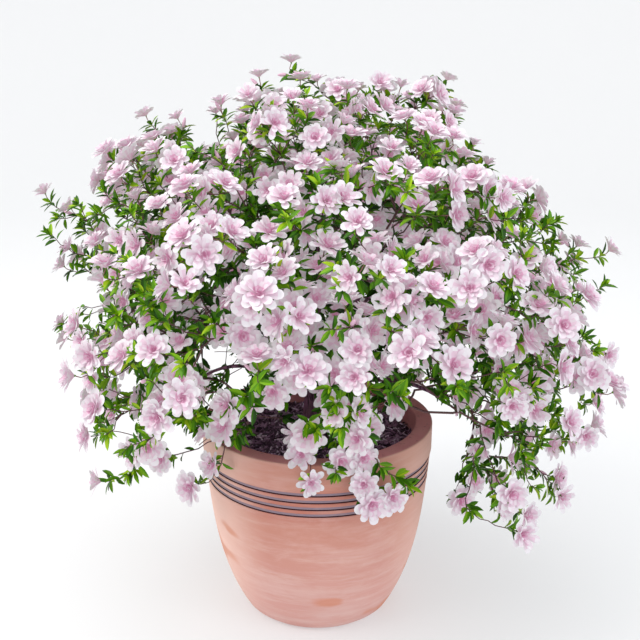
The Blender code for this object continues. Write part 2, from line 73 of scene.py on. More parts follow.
# Each groove, as steps in and down from its top: a band set back a little over a narrow slit,
# then a rounded ridge
GROOVE_PROFILE = (
    (0.0, 0.0), (0.0009, 0.0007), (0.0011, 0.0040), (0.0026, 0.0042),
    (0.0026, 0.0053), (0.0007, 0.0056), (0.0002, 0.0064), (0.0003, 0.0094),
)
GROOVE_BAND = (0.0006, 0.0040)
# The slit's span takes a near-black painted shade
GROOVE_SLIT = (0.0040, 0.0056)
MOUTH_ROUNDING = 0.0025
RIM_ROUNDING = 0.0022
RIM_SKIN = 0.0014
MOUTH_DEPTH = 0.030
BASE_RADIUS = 0.1027
BASE_ROUNDING = 0.008
BASE_FILLET = 0.006
BODY_BULGE = 0.0170
BULGE_DROP = 0.74
WALL = 0.018
MOUTH_TAPER = 0.002
FLOOR_THICKNESS = 0.020
SOIL_LEVEL = 0.258
SOIL_SINK = 0.005
SOIL_HUMPS = 0.0022
HUMPS_A_METRE = 45
WALL_GAP = 0.0008
GAP = 0.0003
TRUNK_RADIUS = 0.021
TRUNK_FLARE = 0.010
FLARE_HEIGHT = 0.014
TRUNK_TAPER = 0.002
TRUNK_HEIGHT = 0.066
TRUNK_LEAN = 0.006
TRUNK_FLUTES = 9
HEAD_HEIGHT = 0.030
CORE_SHARE = 0.96
HEAD_TURNS = (22.0, 44.0, 66.0, 84.0)
# Radius of each stem at the foot and along its bough, and how far it stands in the trunk, by tier
FOOT_RADII = (0.0062, 0.0054, 0.0050, 0.0048)
BOUGH_RADII = (0.0044, 0.0020)
FOOT_HEIGHTS = (-0.002, 0.014, 0.034)
FOOT_INSETS = {"skirt": 0.0015, "middle": 0.0035, "upper": 0.009, "top": 0.016}
HUB = Vector((0.004, 0.0, 0.400))
CROWN_REACH = 0.372
CROWN_LEAN = 0.010
FRONT_BEARING = 275.0
FRONT_HALF_WIDTH = 58.0
FRONT_DRAWN_IN = 0.30
FRONT_RISES = (-16.0, 8.0)
LOWEST_RISE = -33.0
BOUGH_SINK = 0.006
PULL_OUT = 0.35
PULL_IN = 0.30
SKIRT_ARCH = 0.10
STEM_END = 0.80
TIERS = (
    ("top", 1, 0.0, 88.0, 0.40, 90.0),
    ("upper", 5, 20.0, 53.0, 0.42, 61.0),
    ("middle", 7, 5.0, 17.0, 0.46, 36.0),
    ("skirt", 7, 25.0, -18.0, 0.50, 13.0),
)
# Swells and hollows of the outline: bearing, rise, angle over which they fade, share of the reach
SWELLS = (
    (171.0, 29.0, 40.0, 0.14), (6.0, 18.0, 30.0, 0.13), (352.0, -16.0, 36.0, 0.10),
    (322.0, -30.0, 26.0, 0.06), (14.0, 40.0, 24.0, -0.09), (26.0, 58.0, 20.0, 0.05),
    (130.0, 66.0, 26.0, -0.04), (178.0, 7.0, 20.0, -0.12), (190.0, -24.0, 34.0, -0.07),
    (206.0, -38.0, 26.0, -0.15), (76.0, 34.0, 40.0, 0.07), (110.0, -6.0, 34.0, 0.06),
    (236.0, 26.0, 34.0, 0.05), (300.0, 38.0, 34.0, 0.04),
)
# Shoots that stand out of the outline: bearing, rise, reach from the hub
LONG_SHOOTS = (
    (171.5, 26.0, 0.437), (160.0, 49.0, 0.395), (110.0, 72.0, 0.386), (31.0, 59.0, 0.405),
    (18.5, 47.0, 0.384), (5.0, 16.0, 0.424), (359.0, -2.5, 0.401), (356.0, -13.0, 0.394),
    (350.0, -30.0, 0.397), (320.0, -30.0, 0.380), (191.0, -32.0, 0.366), (187.0, -22.0, 0.352),
    (179.0, 4.0, 0.372),
)
# Shoots that fill the outline out: bearing, rise, reach from the hub, in bloom
SIDE_SHOOTS = (
    (10.6, 31.5, 0.373, True), (7.0, 26.5, 0.372, False), (6.8, 21.4, 0.375, True),
    (5.3, 17.0, 0.398, False), (3.0, 10.0, 0.376, True), (347.0, -36.8, 0.308, True),
    (348.3, -34.0, 0.289, False), (345.0, -41.0, 0.301, True), (345.5, -39.8, 0.357, True),
    (352.0, -38.0, 0.330, True), (20.1, 48.9, 0.364, False), (16.5, 43.4, 0.361, True),
    (172.1, 24.6, 0.391, False), (160.4, 48.1, 0.367, False), (129.0, 68.9, 0.383, True),
    (90.4, 73.3, 0.372, True), (75.3, 72.8, 0.360, True), (62.5, 71.3, 0.360, True),
    (48.7, 68.2, 0.365, True), (41.7, 65.7, 0.377, True), (126.5, 69.5, 0.344, True),
    (26.0, 55.5, 0.385, True), (156.1, 53.5, 0.375, True), (149.0, 59.8, 0.355, True),
    (139.5, 65.2, 0.340, True), (100.1, 73.1, 0.389, False), (33.5, 61.5, 0.414, False),
    (164.7, 41.3, 0.399, False), (56.4, 70.2, 0.369, False), (174.2, 18.7, 0.384, True),
    (175.4, 15.0, 0.385, True), (176.2, 12.5, 0.366, True), (179.1, 3.0, 0.374, True),
    (180.0, 0.0, 0.364, True), (171.6, 26.0, 0.403, True), (174.9, 16.5, 0.368, False),
    (178.2, 6.1, 0.356, False), (179.9, 0.5, 0.335, False), (172.4, 23.7, 0.426, False),
    (350.4, -28.9, 0.224, True), (351.1, -27.2, 0.276, True), (348.5, -33.6, 0.281, True),
    (354.3, -18.2, 0.300, True), (353.5, -20.6, 0.323, True), (351.9, -25.2, 0.326, True),
    (349.6, -31.0, 0.323, True), (347.5, -35.7, 0.337, True), (350.4, -29.1, 0.356, True),
    (350.4, -29.1, 0.395, True), (349.3, -31.7, 0.414, True), (343.9, -42.6, 0.313, True),
    (341.6, -46.4, 0.311, True), (345.0, -40.7, 0.365, True), (346.0, -38.8, 0.389, True),
    (352.4, -23.7, 0.365, True), (353.1, -21.9, 0.384, True), (353.5, -20.7, 0.402, True),
    (347.4, -36.0, 0.314, False), (345.3, -40.2, 0.303, False), (349.5, -31.2, 0.359, False),
    (345.9, -39.1, 0.357, False), (347.7, -35.3, 0.371, False), (354.0, -19.2, 0.384, False),
    (353.1, -21.7, 0.346, False),
)
# Openings in the front of the crown: bearing, rise, half-angle
WINDOWS = (
    (253.0, -13.0, 12.0), (293.0, -7.0, 9.0), (318.0, -24.0, 10.0),
)

# Finer growth: how many tips are strewn, how deep they stand, and where they are thinned or bloom
SEED = 23
FINE_TIPS = 2080
TIP_DEPTHS = (0.84, 1.0)
CLUMP_DEPTH = 0.15
THIN_SHARE = 0.5
OPEN_SHARE = 0.06
THIN_RISES = (-26.0, -6.0)
INNER_DEPTHS = (0.48, 0.82)
INNER_SHARE = 0.36
INNER_BLOOM_SHARE = 0.34
BLOOM_SHARE = 0.66
LEAFY_SIDE = 0.33
LEAFY_TOP = 0.07
# Shoots beside each long shoot: how many, how far off in degrees, share of its length, in bloom
BESIDE_COUNT = 3
BESIDE_OFF = 6
BESIDE_LENGTHS = (0.82, 0.93)
BESIDE_BLOOM_SHARE = 0.6
# How far a tip, a leaf's end or a blossom's heart keeps clear of a line of sight
STREWN_MARGIN = 0.010
PLACED_MARGIN = -0.002
LEAF_MARGIN = 0.002
STREWN_HEART_MARGIN = 0.015
PLACED_HEART_MARGIN = 0.003
# Twigs: distance between knots, nearest knot a twig may leave from, thickness by tips carried,
# wander of each knot, and how far a twig may be lifted to pass over the rim
STEP = 0.012
NEAREST_KNOT = 0.022
TWIG_RADIUS = 0.00062
STEM_RADIUS = 0.0017
LOAD_POWER = 0.35
TWIG_SIDES = 5
KNOT_WANDER = 0.0012
LIFTS = (0.0, 0.015, 0.030, 0.050)
KNOT_ROOM = 24000
# Choice of the knot that a twig leaves from: weights of its length and bend, and the least that it
# may agree with the way out of the crown and with the knot's own way
KNOT_COST = 2.3
KNOT_BEND = 0.6
LEAST_OUTWARD = 0.15
LEAST_ONWARD = 0.05
# A twig's curve: weight of the knot's own way where it leaves, pull at root and tip as shares of
# its span, and how its tip's heading rises, falls off towards the top, droops and wanders
KNOT_WAY = 0.7
TWIG_PULLS = (0.34, 0.30)
TIP_RISE = 0.42
TIP_FALL = 0.3
TIP_DROOP = -0.40
TIP_WANDER = 0.16
# How far twigs, leaves and blossoms keep off the pot and the soil
TWIG_CLEARANCE = 0.005
LEAF_CLEARANCE = 0.003
LEAF_ROOT_CLEARANCE = 0.002
HEART_CLEARANCE = 0.016
DROOP_REACH = 0.29
# Leaves and blossoms
LEAF_LENGTH = 0.0198
LEAF_TURN = 2.4
TWIG_LEAF_SHARE = 0.88
BARE_SHARE = 0.35
BLOSSOM_SPACING = 0.0265
DROOP_SPACING = 0.65
BLOSSOM_HEIGHT = 0.018
SHOOT_TIP_HEIGHT = 0.008
HEART_HEIGHT = 0.0235
HEART_DEPTH = 0.014
SMALLER_ABOVE = 0.12
SHOOT_BLOSSOM = 0.80
STALK_LENGTHS = (0.007, 0.012)
DROOP_STALK = 0.0095
STALK_RADII = (0.0007, 0.0006, 0.0008)
BUD_STALK = 0.007
BUD_SHARE = 0.10
FACE_UP = 0.12
# A blossom faces out of the crown and up by these weights, and partly along its twig
FACE_OUT = 0.8
FACE_LIFT = 0.55
FACE_ALONG = 0.3
# A leaf's upper side turns up and out by these weights, with some wander
LEAF_UP = 0.8
LEAF_OUT = 0.6
LEAF_WANDER = 0.25
LEAF_ROLL = 0.25
# Shade starts at this share of the reach and is full this much further in
SHADE_START = 0.90
SHADE_FADE = 0.45
# How far the skirt's placed shoots turn their blossoms to the front
FRONT_LEANS = (0.3, 1.4)
# Painted light: petals and leaves glow in their own colour, for light through them and to lift
# shade
PETAL_PAINTED_GLOW = 0.23
LEAF_PAINTED_GLOW = 0.06
# Studio: the level floor's reach, the curve that joins it to the wall, and the wall's top
FLOOR_REACH = 3.4
FLOOR_CURVE = 1.4
WALL_TOP = 4.2
CAMERA_PITCH = 16.73
LIGHT_TARGET = Vector((0.0, 0.0, 0.35))
# Bark chips on the soil: how many, and their spans of length, width and thickness
CHIP_COUNT = 3400
CHIP_SIZES = ((0.006, 0.016), (0.0016, 0.0036), (0.0010, 0.0024))
CHIP_CLEARANCE = 0.004
CHIP_HEAP = 0.0034
# Shoots low over the soil and the front of the rim: bearing, rise and reach of the blossom's heart
# or the rosette from the hub, in bloom
RIM_SHOOTS = (
    (207.6, -39.5, 0.280, True), (223.3, -32.4, 0.242, True), (226.9, -29.4, 0.220, True),
    (231.0, -29.0, 0.191, False), (243.6, -30.3, 0.155, True), (254.2, -33.1, 0.161, True),
    (257.5, -35.7, 0.151, False), (262.5, -29.3, 0.202, True), (265.9, -33.9, 0.235, True),
    (269.9, -39.7, 0.156, False), (276.0, -31.8, 0.225, False), (278.3, -29.7, 0.209, True),
    (282.4, -30.0, 0.154, True), (280.2, -38.2, 0.168, False), (287.7, -29.3, 0.211, True),
    (290.1, -15.3, 0.155, True), (288.9, -34.6, 0.237, True), (290.8, -39.9, 0.258, True),
    (297.5, -27.7, 0.166, True), (294.6, -31.9, 0.227, False), (299.2, -38.5, 0.256, True),
    (302.0, -34.4, 0.236, False), (316.3, -20.3, 0.154, True), (306.3, -30.7, 0.216, True),
    (310.1, -39.2, 0.262, True), (315.7, -35.1, 0.236, True), (316.7, -41.0, 0.270, True),
    (306.7, -36.9, 0.250, False), (289.2, -29.3, 0.146, False), (268.0, 17.5, 0.273, True),
    (268.0, 10.6, 0.244, True), (278.2, 13.3, 0.249, True), (285.7, 12.6, 0.266, True),
    (277.1, -14.8, 0.177, True), (260.7, 8.7, 0.225, False), (254.9, -6.0, 0.187, False),
    (252.4, 1.0, 0.210, False), (278.9, 8.1, 0.225, False), (237.6, -21.5, 0.191, False),
    (264.7, 3.4, 0.211, False), (264.4, 8.1, 0.223, False), (267.9, 3.3, 0.200, False),
    (259.3, 2.5, 0.204, False), (271.2, 7.5, 0.222, False), (263.6, 13.1, 0.248, False),
    (257.5, 9.8, 0.229, False), (246.8, -6.5, 0.197, False), (234.8, -22.8, 0.212, False),
    (272.2, -4.0, 0.191, False),
)
# The zone over the front of the rim where no other shoots grow: bearings and highest rise
RIM_ZONE = (222.0, 318.0, -14.0)
# Lines of sight kept open through the crown: where each crosses the plane y = 0, and its radius
SIGHT_FROM = Vector((0.0038, -1.3415, 0.8333))
SIGHT_LINES = (
    (0.186, 0.265, 0.024), (-0.329, 0.474, 0.019), (-0.316, 0.442, 0.009), (0.338, 0.212, 0.010),
    (0.153, 0.322, 0.012), (0.162, 0.292, 0.011), (-0.072, 0.257, 0.013), (0.1135, 0.282, 0.011),
    (-0.021, 0.307, 0.013), (0.196, 0.237, 0.012), (0.274, 0.231, 0.009), (0.371, 0.309, 0.010),
    (0.153, 0.310, 0.010), (-0.115, 0.345, 0.013), (-0.140, 0.381, 0.010), (-0.160, 0.374, 0.009),
    (-0.182, 0.224, 0.009), (-0.210, 0.250, 0.012), (-0.281, 0.271, 0.012), (-0.272, 0.338, 0.010),
    (0.234, 0.681, 0.015), (-0.149, 0.693, 0.013),
)


def ray(bearing, rise):
    """Unit vector at a compass bearing from +X towards +Y, tilted up by rise, in degrees."""
    turn = math.radians(bearing)
    tilt = math.radians(rise)
    level = math.cos(tilt)
    return Vector((level * math.cos(turn), level * math.sin(turn), math.sin(tilt)))


def clamp(value, low=0.0, high=1.0):
    return min(max(value, low), high)


def blend(low, high, value):
    """0 below low, 1 above high, and a smooth step between."""
    t = clamp((value - low) / (high - low))
    return t * t * (3 - 2 * t)


UP = Vector((0, 0, 1))
FRONT = Vector((0.0, -1.0, 0.0))


# ---------------------------------------------------------------- materials


class Field:
    """A socket of a material's nodes, so that shader maths reads as an expression."""

    def __init__(self, finish, socket):
        self.finish = finish
        self.socket = socket

    def maths(self, operation, *values):
        return self.finish.node("ShaderNodeMath", {"operation": operation}, dict(enumerate(values)))

    def __add__(self, other):
        return self.maths("ADD", self, other)

    __radd__ = __add__

    def __rsub__(self, other):
        return self.maths("SUBTRACT", other, self)

    def __mul__(self, other):
        return self.maths("MULTIPLY", self, other)

    __rmul__ = __mul__

    def above(self, low, high):
        """0 below low, 1 above high."""
        settings = {"interpolation_type": "SMOOTHSTEP"}
        values = {"Value": self, "From Min": low, "From Max": high}
        return self.finish.node("ShaderNodeMapRange", settings, values)


class Finish:
    """A material with one Principled shader."""

    def __init__(self, name, **constants):
        self.material = bpy.data.materials.new(name)
        self.material.use_nodes = True
        self.tree = self.material.node_tree
        self.shader = self.tree.nodes["Principled BSDF"]
        for label, value in constants.items():
            self.shader.inputs[label.replace("_", " ")].default_value = value

    def node(self, kind, settings, values, out=0):
        made = self.tree.nodes.new(kind)
        for label, value in settings.items():
            setattr(made, label, value)
        for label, value in values.items():
            if isinstance(value, Field):
                self.tree.links.new(value.socket, made.inputs[label])
            else:
                made.inputs[label].default_value = value
        return Field(self, made.outputs[out])

    def where(self):
        return self.node("ShaderNodeTexCoord", {}, {}, "Object")

    def part_of_place(self, axis):
        return self.node("ShaderNodeSeparateXYZ", {}, {0: self.where()}, axis)

    def grain(self, scale, stretch=(1.0, 1.0, 1.0), detail=4.0, roughness=0.55, distortion=0.0):
        """Noise between 0 and 1 on object coordinates."""
        place = self.node("ShaderNodeMapping", {}, {"Vector": self.where(), "Scale": stretch})
        values = {"Vector": place, "Scale": scale, "Detail": detail}
        values |= {"Roughness": roughness, "Distortion": distortion}
        return self.node("ShaderNodeTexNoise", {}, values)

    def tint(self, mask, *colours):
        """The first colour where the mask is 0 and the second where it is 1."""
        first, second = (c if isinstance(c, Field) else (*c, 1.0) for c in colours)
        values = {0: mask, 6: first, 7: second}
        return self.node("ShaderNodeMix", {"data_type": "RGBA"}, values, 2)

    def feed(self, label, value):
        self.tree.links.new(value.socket, self.shader.inputs[label])

    def relief(self, height, distance, strength=1.0):
        values = {"Height": height, "Distance": distance, "Strength": strength}
        self.feed("Normal", self.node("ShaderNodeBump", {}, values))


def plain_finish(name, colour, painted_glow=0.0, **constants):
    """One colour, with a painted glow: emission standing in for light through a thin leaf or petal.
    """
    light = {"Emission_Color": (*colour, 1.0), "Emission_Strength": painted_glow}
    return Finish(name, Base_Color=(*colour, 1.0), **light, **constants).material


def terracotta_body():
    """Fired clay with lime bloom smeared round it, some orange spots, fine throwing lines, painted
    light on its flanks.
    """
    clay = Finish("terracotta", Roughness=0.82, Specular_IOR_Level=0.25)
    height = clay.part_of_place(2)
    side = clay.part_of_place(0)
    low = 1 - height.above(0.02, 0.22)
    # Painted light, with a little lime bloom: lighter clay towards -X where the key light falls,
    # half as much towards +X
    painted_light_flank = 1 - side.above(-0.150, -0.060) + 0.5 * side.above(0.080, 0.150)
    redder = height.above(0.185, 0.212) * (1 - height.above(0.242, 0.250))
    smear = clay.grain(9.0, (1.0, 1.0, 2.6), 6.0, 0.66, 0.4).above(0.44, 0.70)
    streak = clay.grain(17.0, (0.6, 0.6, 5.5), 5.0, 0.75, 0.2).above(0.42, 0.74)
    cloud = clay.grain(5.0, (1.0, 1.0, 1.4), 3.0, 0.5).above(0.35, 0.68)
    spot = clay.grain(19.0, (0.7, 0.7, 1.3), 1.5, 0.45).above(0.60, 0.70)
    colour = clay.tint(cloud, (0.570, 0.250, 0.190), (0.635, 0.305, 0.240))
    for mask, mark in (
        (redder * 0.75, (0.500, 0.175, 0.130)),
        (low * 0.55, (0.720, 0.415, 0.390)),
        (smear * (0.35 + 0.20 * low), (0.730, 0.480, 0.440)),
        (streak * (0.22 + 0.30 * low), (0.760, 0.560, 0.520)),
        # painted light on the flanks
        (painted_light_flank * 0.80, (0.930, 0.640, 0.545)),
        (spot * 0.60 * (1 - height.above(0.15, 0.185)), (0.640, 0.225, 0.120)),
    ):
        colour = clay.tint(mask, colour, mark)
    clay.feed("Base Color", colour)
    clay.feed("Roughness", 0.74 + 0.16 * smear)
    lines = clay.grain(120.0, (0.05, 0.05, 3.0), 2.0)
    grit = clay.grain(900.0, detail=2.0)
    clay.relief(lines * 0.6 + grit * 0.4, 0.0004, 0.5)
    return clay.material


def terracotta_rim():
    """The rim's flat top, browner where it is wetted and handled."""
    clay = Finish("terracotta_rim", Roughness=0.85, Specular_IOR_Level=0.25)
    wash = clay.grain(16.0, roughness=0.6)
    speck = clay.grain(160.0, detail=2.0).above(0.62, 0.70)
    colour = clay.tint(wash.above(0.35, 0.70), (0.790, 0.310, 0.320), (0.870, 0.390, 0.400))
    clay.feed("Base Color", clay.tint(speck * 0.35, colour, (0.30, 0.13, 0.11)))
    clay.relief(clay.grain(700.0), 0.0004, 0.5)
    return clay.material


def two_tone(name, roughness, shine, grain, edges, colours):
    """Half of the second colour over the first, where the grain rises between two edges."""
    finish = Finish(name, Roughness=roughness, Specular_IOR_Level=shine)
    mask = finish.grain(*grain).above(*edges)
    finish.feed("Base Color", finish.tint(mask * 0.5, *colours))
    return finish.material


def groove_finishes():
    """The grey-mauve slip in each groove, and the slit under it, made dark as painted shade."""
    slip = ((0.260, 0.190, 0.235), (0.42, 0.27, 0.275))
    # Painted shade: the slit's near-black tint stands for the shadow in it
    slit = ((0.080, 0.024, 0.036), (0.16, 0.06, 0.065))
    flat = (1.0, 1.0, 1.0)
    return [
        two_tone("groove_slip", 0.5, 0.4, (60.0, (1.0, 1.0, 3.0), 3.0), (0.50, 0.80), slip),
        two_tone("groove_slit_painted_shade", 0.9, 0.1, (90.0, flat, 3.0), (0.55, 0.85), slit),
    ]


def soil_finish():
    """Moist dark mix between the bark chips."""
    soil = Finish("potting_mix", Roughness=0.95, Specular_IOR_Level=0.2)
    crumb = soil.grain(260.0, roughness=0.7)
    soil.feed("Base Color", soil.tint(crumb, (0.024, 0.010, 0.020), (0.100, 0.052, 0.082)))
    soil.relief(crumb, 0.002)
    return soil.material


def bark_finish(name, dark, light):
    """Thin fibrous bark in long plates along the stem."""
    bark = Finish(name, Roughness=0.8, Specular_IOR_Level=0.3)
    plate = bark.grain(210.0, (1.0, 1.0, 0.10), 4.0, 0.65, 0.4)
    patch = bark.grain(45.0, (1.0, 1.0, 0.5), 3.0).above(0.40, 0.70)
    colour = bark.tint(plate.above(0.32, 0.68), dark, light)
    bark.feed("Base Color", bark.tint(patch * 0.35, colour, (0.22, 0.125, 0.135)))
    bark.feed("Roughness", 0.70 + 0.20 * plate)
    bark.relief(plate, 0.0012, 0.8)
    return bark.material


# ---------------------------------------------------------------- joined meshes


# A small mesh kept as arrays: points, face corners, face sizes and each face's tint
Shape = namedtuple("Shape", "points corners sizes tints")


def shape_of(bm, tint=lambda face: 0):
    bm.verts.ensure_lookup_table()
    bm.verts.index_update()
    points = np.array([v.co[:] for v in bm.verts], float).reshape(-1, 3)
    corners = np.array([v.index for f in bm.faces for v in f.verts], int)
    sizes = np.array([len(f.verts) for f in bm.faces], int)
    tints = np.array([tint(f) for f in bm.faces], int)
    bm.free()
    return Shape(points, corners, sizes, tints)


class Pile:
    """Copies of small shapes, joined into one mesh."""

    def __init__(self):
        self.parts = []

    def add(self, shape, points, tint_shift=0):
        self.parts.append((points, shape, tint_shift))

    def put(self, shape, matrix, tint_shift=0):
        turn = np.array(matrix, float)
        self.add(shape, shape.points @ turn[:3, :3].T + turn[:3, 3], tint_shift)

    def joined(self):
        """All the copies as one Shape."""
        points = [p for p, _, _ in self.parts]
        starts = np.cumsum([0] + [len(p) for p in points])
        corners = [s.corners + start for (_, s, _), start in zip(self.parts, starts)]
        sizes = [s.sizes for _, s, _ in self.parts]
        tints = [s.tints + shift for _, s, shift in self.parts]
        return Shape(*map(np.concatenate, (points, corners, sizes, tints)))

    def to_object(self, name, materials):
        whole = self.joined()
        mesh = bpy.data.meshes.new(name)
        mesh.vertices.add(len(whole.points))
        mesh.vertices.foreach_set("co", whole.points.astype(np.float32).ravel())
        mesh.loops.add(len(whole.corners))
        mesh.loops.foreach_set("vertex_index", whole.corners.astype(np.int32))
        mesh.polygons.add(len(whole.sizes))
        starts = np.cumsum(whole.sizes) - whole.sizes
        mesh.polygons.foreach_set("loop_start", starts.astype(np.int32))
        mesh.polygons.foreach_set("material_index", whole.tints.astype(np.int32))
        for material in materials:
            mesh.materials.append(material)
        mesh.update(calc_edges=True)
        mesh.validate()
        mesh.shade_smooth()
        return place(name, mesh)


def place(name, data):
    piece = bpy.data.objects.new(name, data)
    bpy.context.scene.collection.objects.link(piece)
    return piece


def finished(name, bm, materials, sharp=35.0):
    """A bmesh as an object with smooth faces and sharp edges over an angle."""
    bmesh.ops.recalc_face_normals(bm, faces=bm.faces)
    mesh = bpy.data.meshes.new(name)
    bm.to_mesh(mesh)
    bm.free()
    for material in materials:
        mesh.materials.append(material)
    mesh.shade_smooth()
    mesh.set_sharp_from_angle(angle=math.radians(sharp))
    return place(name, mesh)


def dress(piece, slot, *nodes):
    """The piece rides on the part and stands for the nodes, which it hides; the slot is not used.
    """
    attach(piece, "root")
    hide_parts(*nodes)


# ---------------------------------------------------------------- pot and soil


def body_radius(z):
    """Outer radius of the pot below its collar: a cone that swells most in its lower half."""
    top = POT_HEIGHT - COLLAR_HEIGHT
    t = min(z / top, 1.0)
    bulge = BODY_BULGE * math.sin(math.pi * t**BULGE_DROP)
    return BASE_RADIUS + (RIM_RADIUS - COLLAR_STEP - BASE_RADIUS) * t + bulge


def inner_radius(z):
    return body_radius(z) - WALL


def rim_mouth(z):
    return RIM_RADIUS - RIM_WIDTH - MOUTH_TAPER * (POT_HEIGHT - z) / (POT_HEIGHT - SOIL_LEVEL)


def rounded(centre, radius, first, last, count):
    """Points of an arc in the profile's plane, angles in degrees from the outward side."""
    turns = [math.radians(first + (last - first) * i / (count - 1)) for i in range(count)]
    return [(centre[0] + radius * math.cos(t), centre[1] + radius * math.sin(t)) for t in turns]


def groove_points():
    points = []
    for i in range(GROOVE_COUNT):
        z = POT_HEIGHT - COLLAR_HEIGHT - GROOVE_PITCH * i
        r = min(body_radius(z), RIM_RADIUS - COLLAR_STEP)
        points += [(r - inward, z - down) for inward, down in GROOVE_PROFILE]
    return points


def spun(profile, steps):
    """A closed solid turned about the Z axis from points that run down its outer side."""
    bm = bmesh.new()
    verts = [bm.verts.new((r, 0, z)) for r, z in profile]
    edges = [bm.edges.new(pair) for pair in zip(verts, verts[1:])]
    turn = {"cent": (0, 0, 0), "axis": (0, 0, 1), "angle": math.tau, "steps": steps}
    bmesh.ops.spin(bm, geom=verts + edges, use_merge=True, **turn)
    bmesh.ops.remove_doubles(bm, verts=bm.verts, dist=0.00002)
    return bm


def build_pot():
    top = POT_HEIGHT
    collar_foot = top - COLLAR_HEIGHT
    profile = [(0.0, FLOOR_THICKNESS)]
    profile += [(inner_radius(z), z) for z in np.linspace(FLOOR_THICKNESS, 0.235, 9)]
    profile += [(rim_mouth(SOIL_LEVEL), SOIL_LEVEL - 0.004)]
    mouth = rim_mouth(top)
    corner = (mouth + MOUTH_ROUNDING, top - MOUTH_ROUNDING)
    profile += rounded(corner, MOUTH_ROUNDING, 180, 90, 5)
    profile += [(mouth + 0.010, top - 0.0003), (RIM_RADIUS - 0.010, top - 0.0003)]
    corner = (RIM_RADIUS - RIM_ROUNDING, top - RIM_ROUNDING)
    profile += rounded(corner, RIM_ROUNDING, 90, 0, 6)
    profile += [(RIM_RADIUS - 0.0002, top - 0.020), (RIM_RADIUS - 0.0003, collar_foot + 0.004)]
    profile += [(RIM_RADIUS - 0.0008, collar_foot + 0.001)]
    profile += groove_points()
    below = collar_foot - GROOVE_PITCH * GROOVE_COUNT
    profile += [(body_radius(z), z) for z in np.linspace(below, BASE_ROUNDING, 20)]
    corner = (BASE_RADIUS - BASE_FILLET, BASE_FILLET)
    profile += rounded(corner, BASE_FILLET, 0, -90, 5)[1:]
    profile += [(0.0, 0.0)]
    bm = spun(profile, 160)
    for face in bm.faces:
        face.material_index = pot_finish_at(face.calc_center_median(), collar_foot)
    materials = [terracotta_body(), terracotta_rim(), *groove_finishes()]
    dress(finished("pot_shell", bm, materials, 30.0), "terracotta", "pot")


def pot_finish_at(centre, collar_foot):
    """0 body, 1 rim top and mouth, 2 groove band, 3 groove slit in painted shade."""
    across = math.hypot(centre.x, centre.y)
    if across < RIM_RADIUS - RIM_SKIN and centre.z > POT_HEIGHT - MOUTH_DEPTH:
        return 1
    drop = collar_foot - centre.z
    if 0 < drop < GROOVE_PITCH * GROOVE_COUNT and across > inner_radius(centre.z) + 0.01:
        share = drop % GROOVE_PITCH
        for finish, (first, last) in ((2, GROOVE_BAND), (3, GROOVE_SLIT)):
            if first < share < last:
                return finish
    return 0


def soil_height(x, y):
    """The mix slopes down a little to the wall, with small humps."""
    across = math.hypot(x, y)
    slope = SOIL_SINK * clamp((across - 0.04) / 0.10)
    hump = noise.noise(Vector((x * HUMPS_A_METRE, y * HUMPS_A_METRE, 3.7)))
    return SOIL_LEVEL - slope + SOIL_HUMPS * hump


def build_soil(chance):
    wall = rim_mouth(SOIL_LEVEL) - WALL_GAP
    floor = FLOOR_THICKNESS + GAP
    profile = [(r, SOIL_LEVEL) for r in np.linspace(0.0, wall, 24)]
    profile += [(inner_radius(z) - WALL_GAP, z) for z in (0.22, 0.15, 0.08, floor)]
    profile += [(0.0, floor)]
    bm = spun(profile, 96)
    for vertex in bm.verts:
        if vertex.co.z > SOIL_LEVEL - 0.001:
            vertex.co.z = soil_height(vertex.co.x, vertex.co.y)
    dress(finished("soil_body", bm, [soil_finish()], 60.0), "soil", "soil")
    build_mulch(wall, chance)


def chip_shape(chance):
    """A splinter of bark: a bevelled sliver, thinner at its ends."""
    bm = bmesh.new()
    bmesh.ops.create_cube(bm, size=1.0)
    for vertex in bm.verts:
        vertex.co.y *= chance.uniform(0.55, 1.0)
        vertex.co.z *= chance.uniform(0.5, 1.0)
        vertex.co.x += chance.uniform(-0.12, 0.12)
    return shape_of(bm)


def build_mulch(wall, chance):
    """Bark chips strewn flat over the soil, dark purple, some lighter as painted light and
    highlights.
    """
    chips = [chip_shape(chance) for _ in range(10)]
    pile = Pile()
    for _ in range(CHIP_COUNT):
        across = wall * math.sqrt(chance.uniform(0.02, 0.96))
        turn = chance.uniform(0, math.tau)
        x, y = across * math.cos(turn), across * math.sin(turn)
        if across < TRUNK_RADIUS + CHIP_CLEARANCE:
            continue
        size = [chance.uniform(*span) for span in CHIP_SIZES]
        pitch = Matrix.Rotation(chance.gauss(0, 0.30), 4, "Y")
        roll = Matrix.Rotation(chance.gauss(0, 0.8), 4, "X")
        spin = Matrix.Rotation(chance.uniform(0, math.tau), 4, "Z")
        where = Matrix.Translation((x, y, soil_height(x, y) + chance.uniform(0.0, CHIP_HEAP)))
        where = where @ spin @ (pitch @ roll) @ Matrix.Diagonal((*size, 1.0))
        pile.put(chance.choice(chips), where, chance.choice((0, 0, 0, 1, 1, 1, 2)))
    # Dark purple chips; the mid tint is partly painted light, the near-white one a painted
    # highlight
    tints = ((0.085, 0.032, 0.075), (0.420, 0.230, 0.390), (0.950, 0.760, 0.940))
    materials = [plain_finish(f"mulch_{i}", tint, Roughness=0.38) for i, tint in enumerate(tints)]
    mulch = pile.to_object("bark_mulch", materials)
    mulch.data.shade_flat()
    dress(mulch, "soil", "soil")


# ---------------------------------------------------------------- limbs


def trunk_centre(height):
    """Middle of the trunk at a height above the soil: it leans towards +X."""
    return Vector((TRUNK_LEAN * height / TRUNK_HEIGHT, 0.0, SOIL_LEVEL + GAP + height))


def trunk_radius(height):
    flare = TRUNK_FLARE * math.exp(-height / FLARE_HEIGHT)
    return TRUNK_RADIUS + flare - TRUNK_TAPER * height / TRUNK_HEIGHT


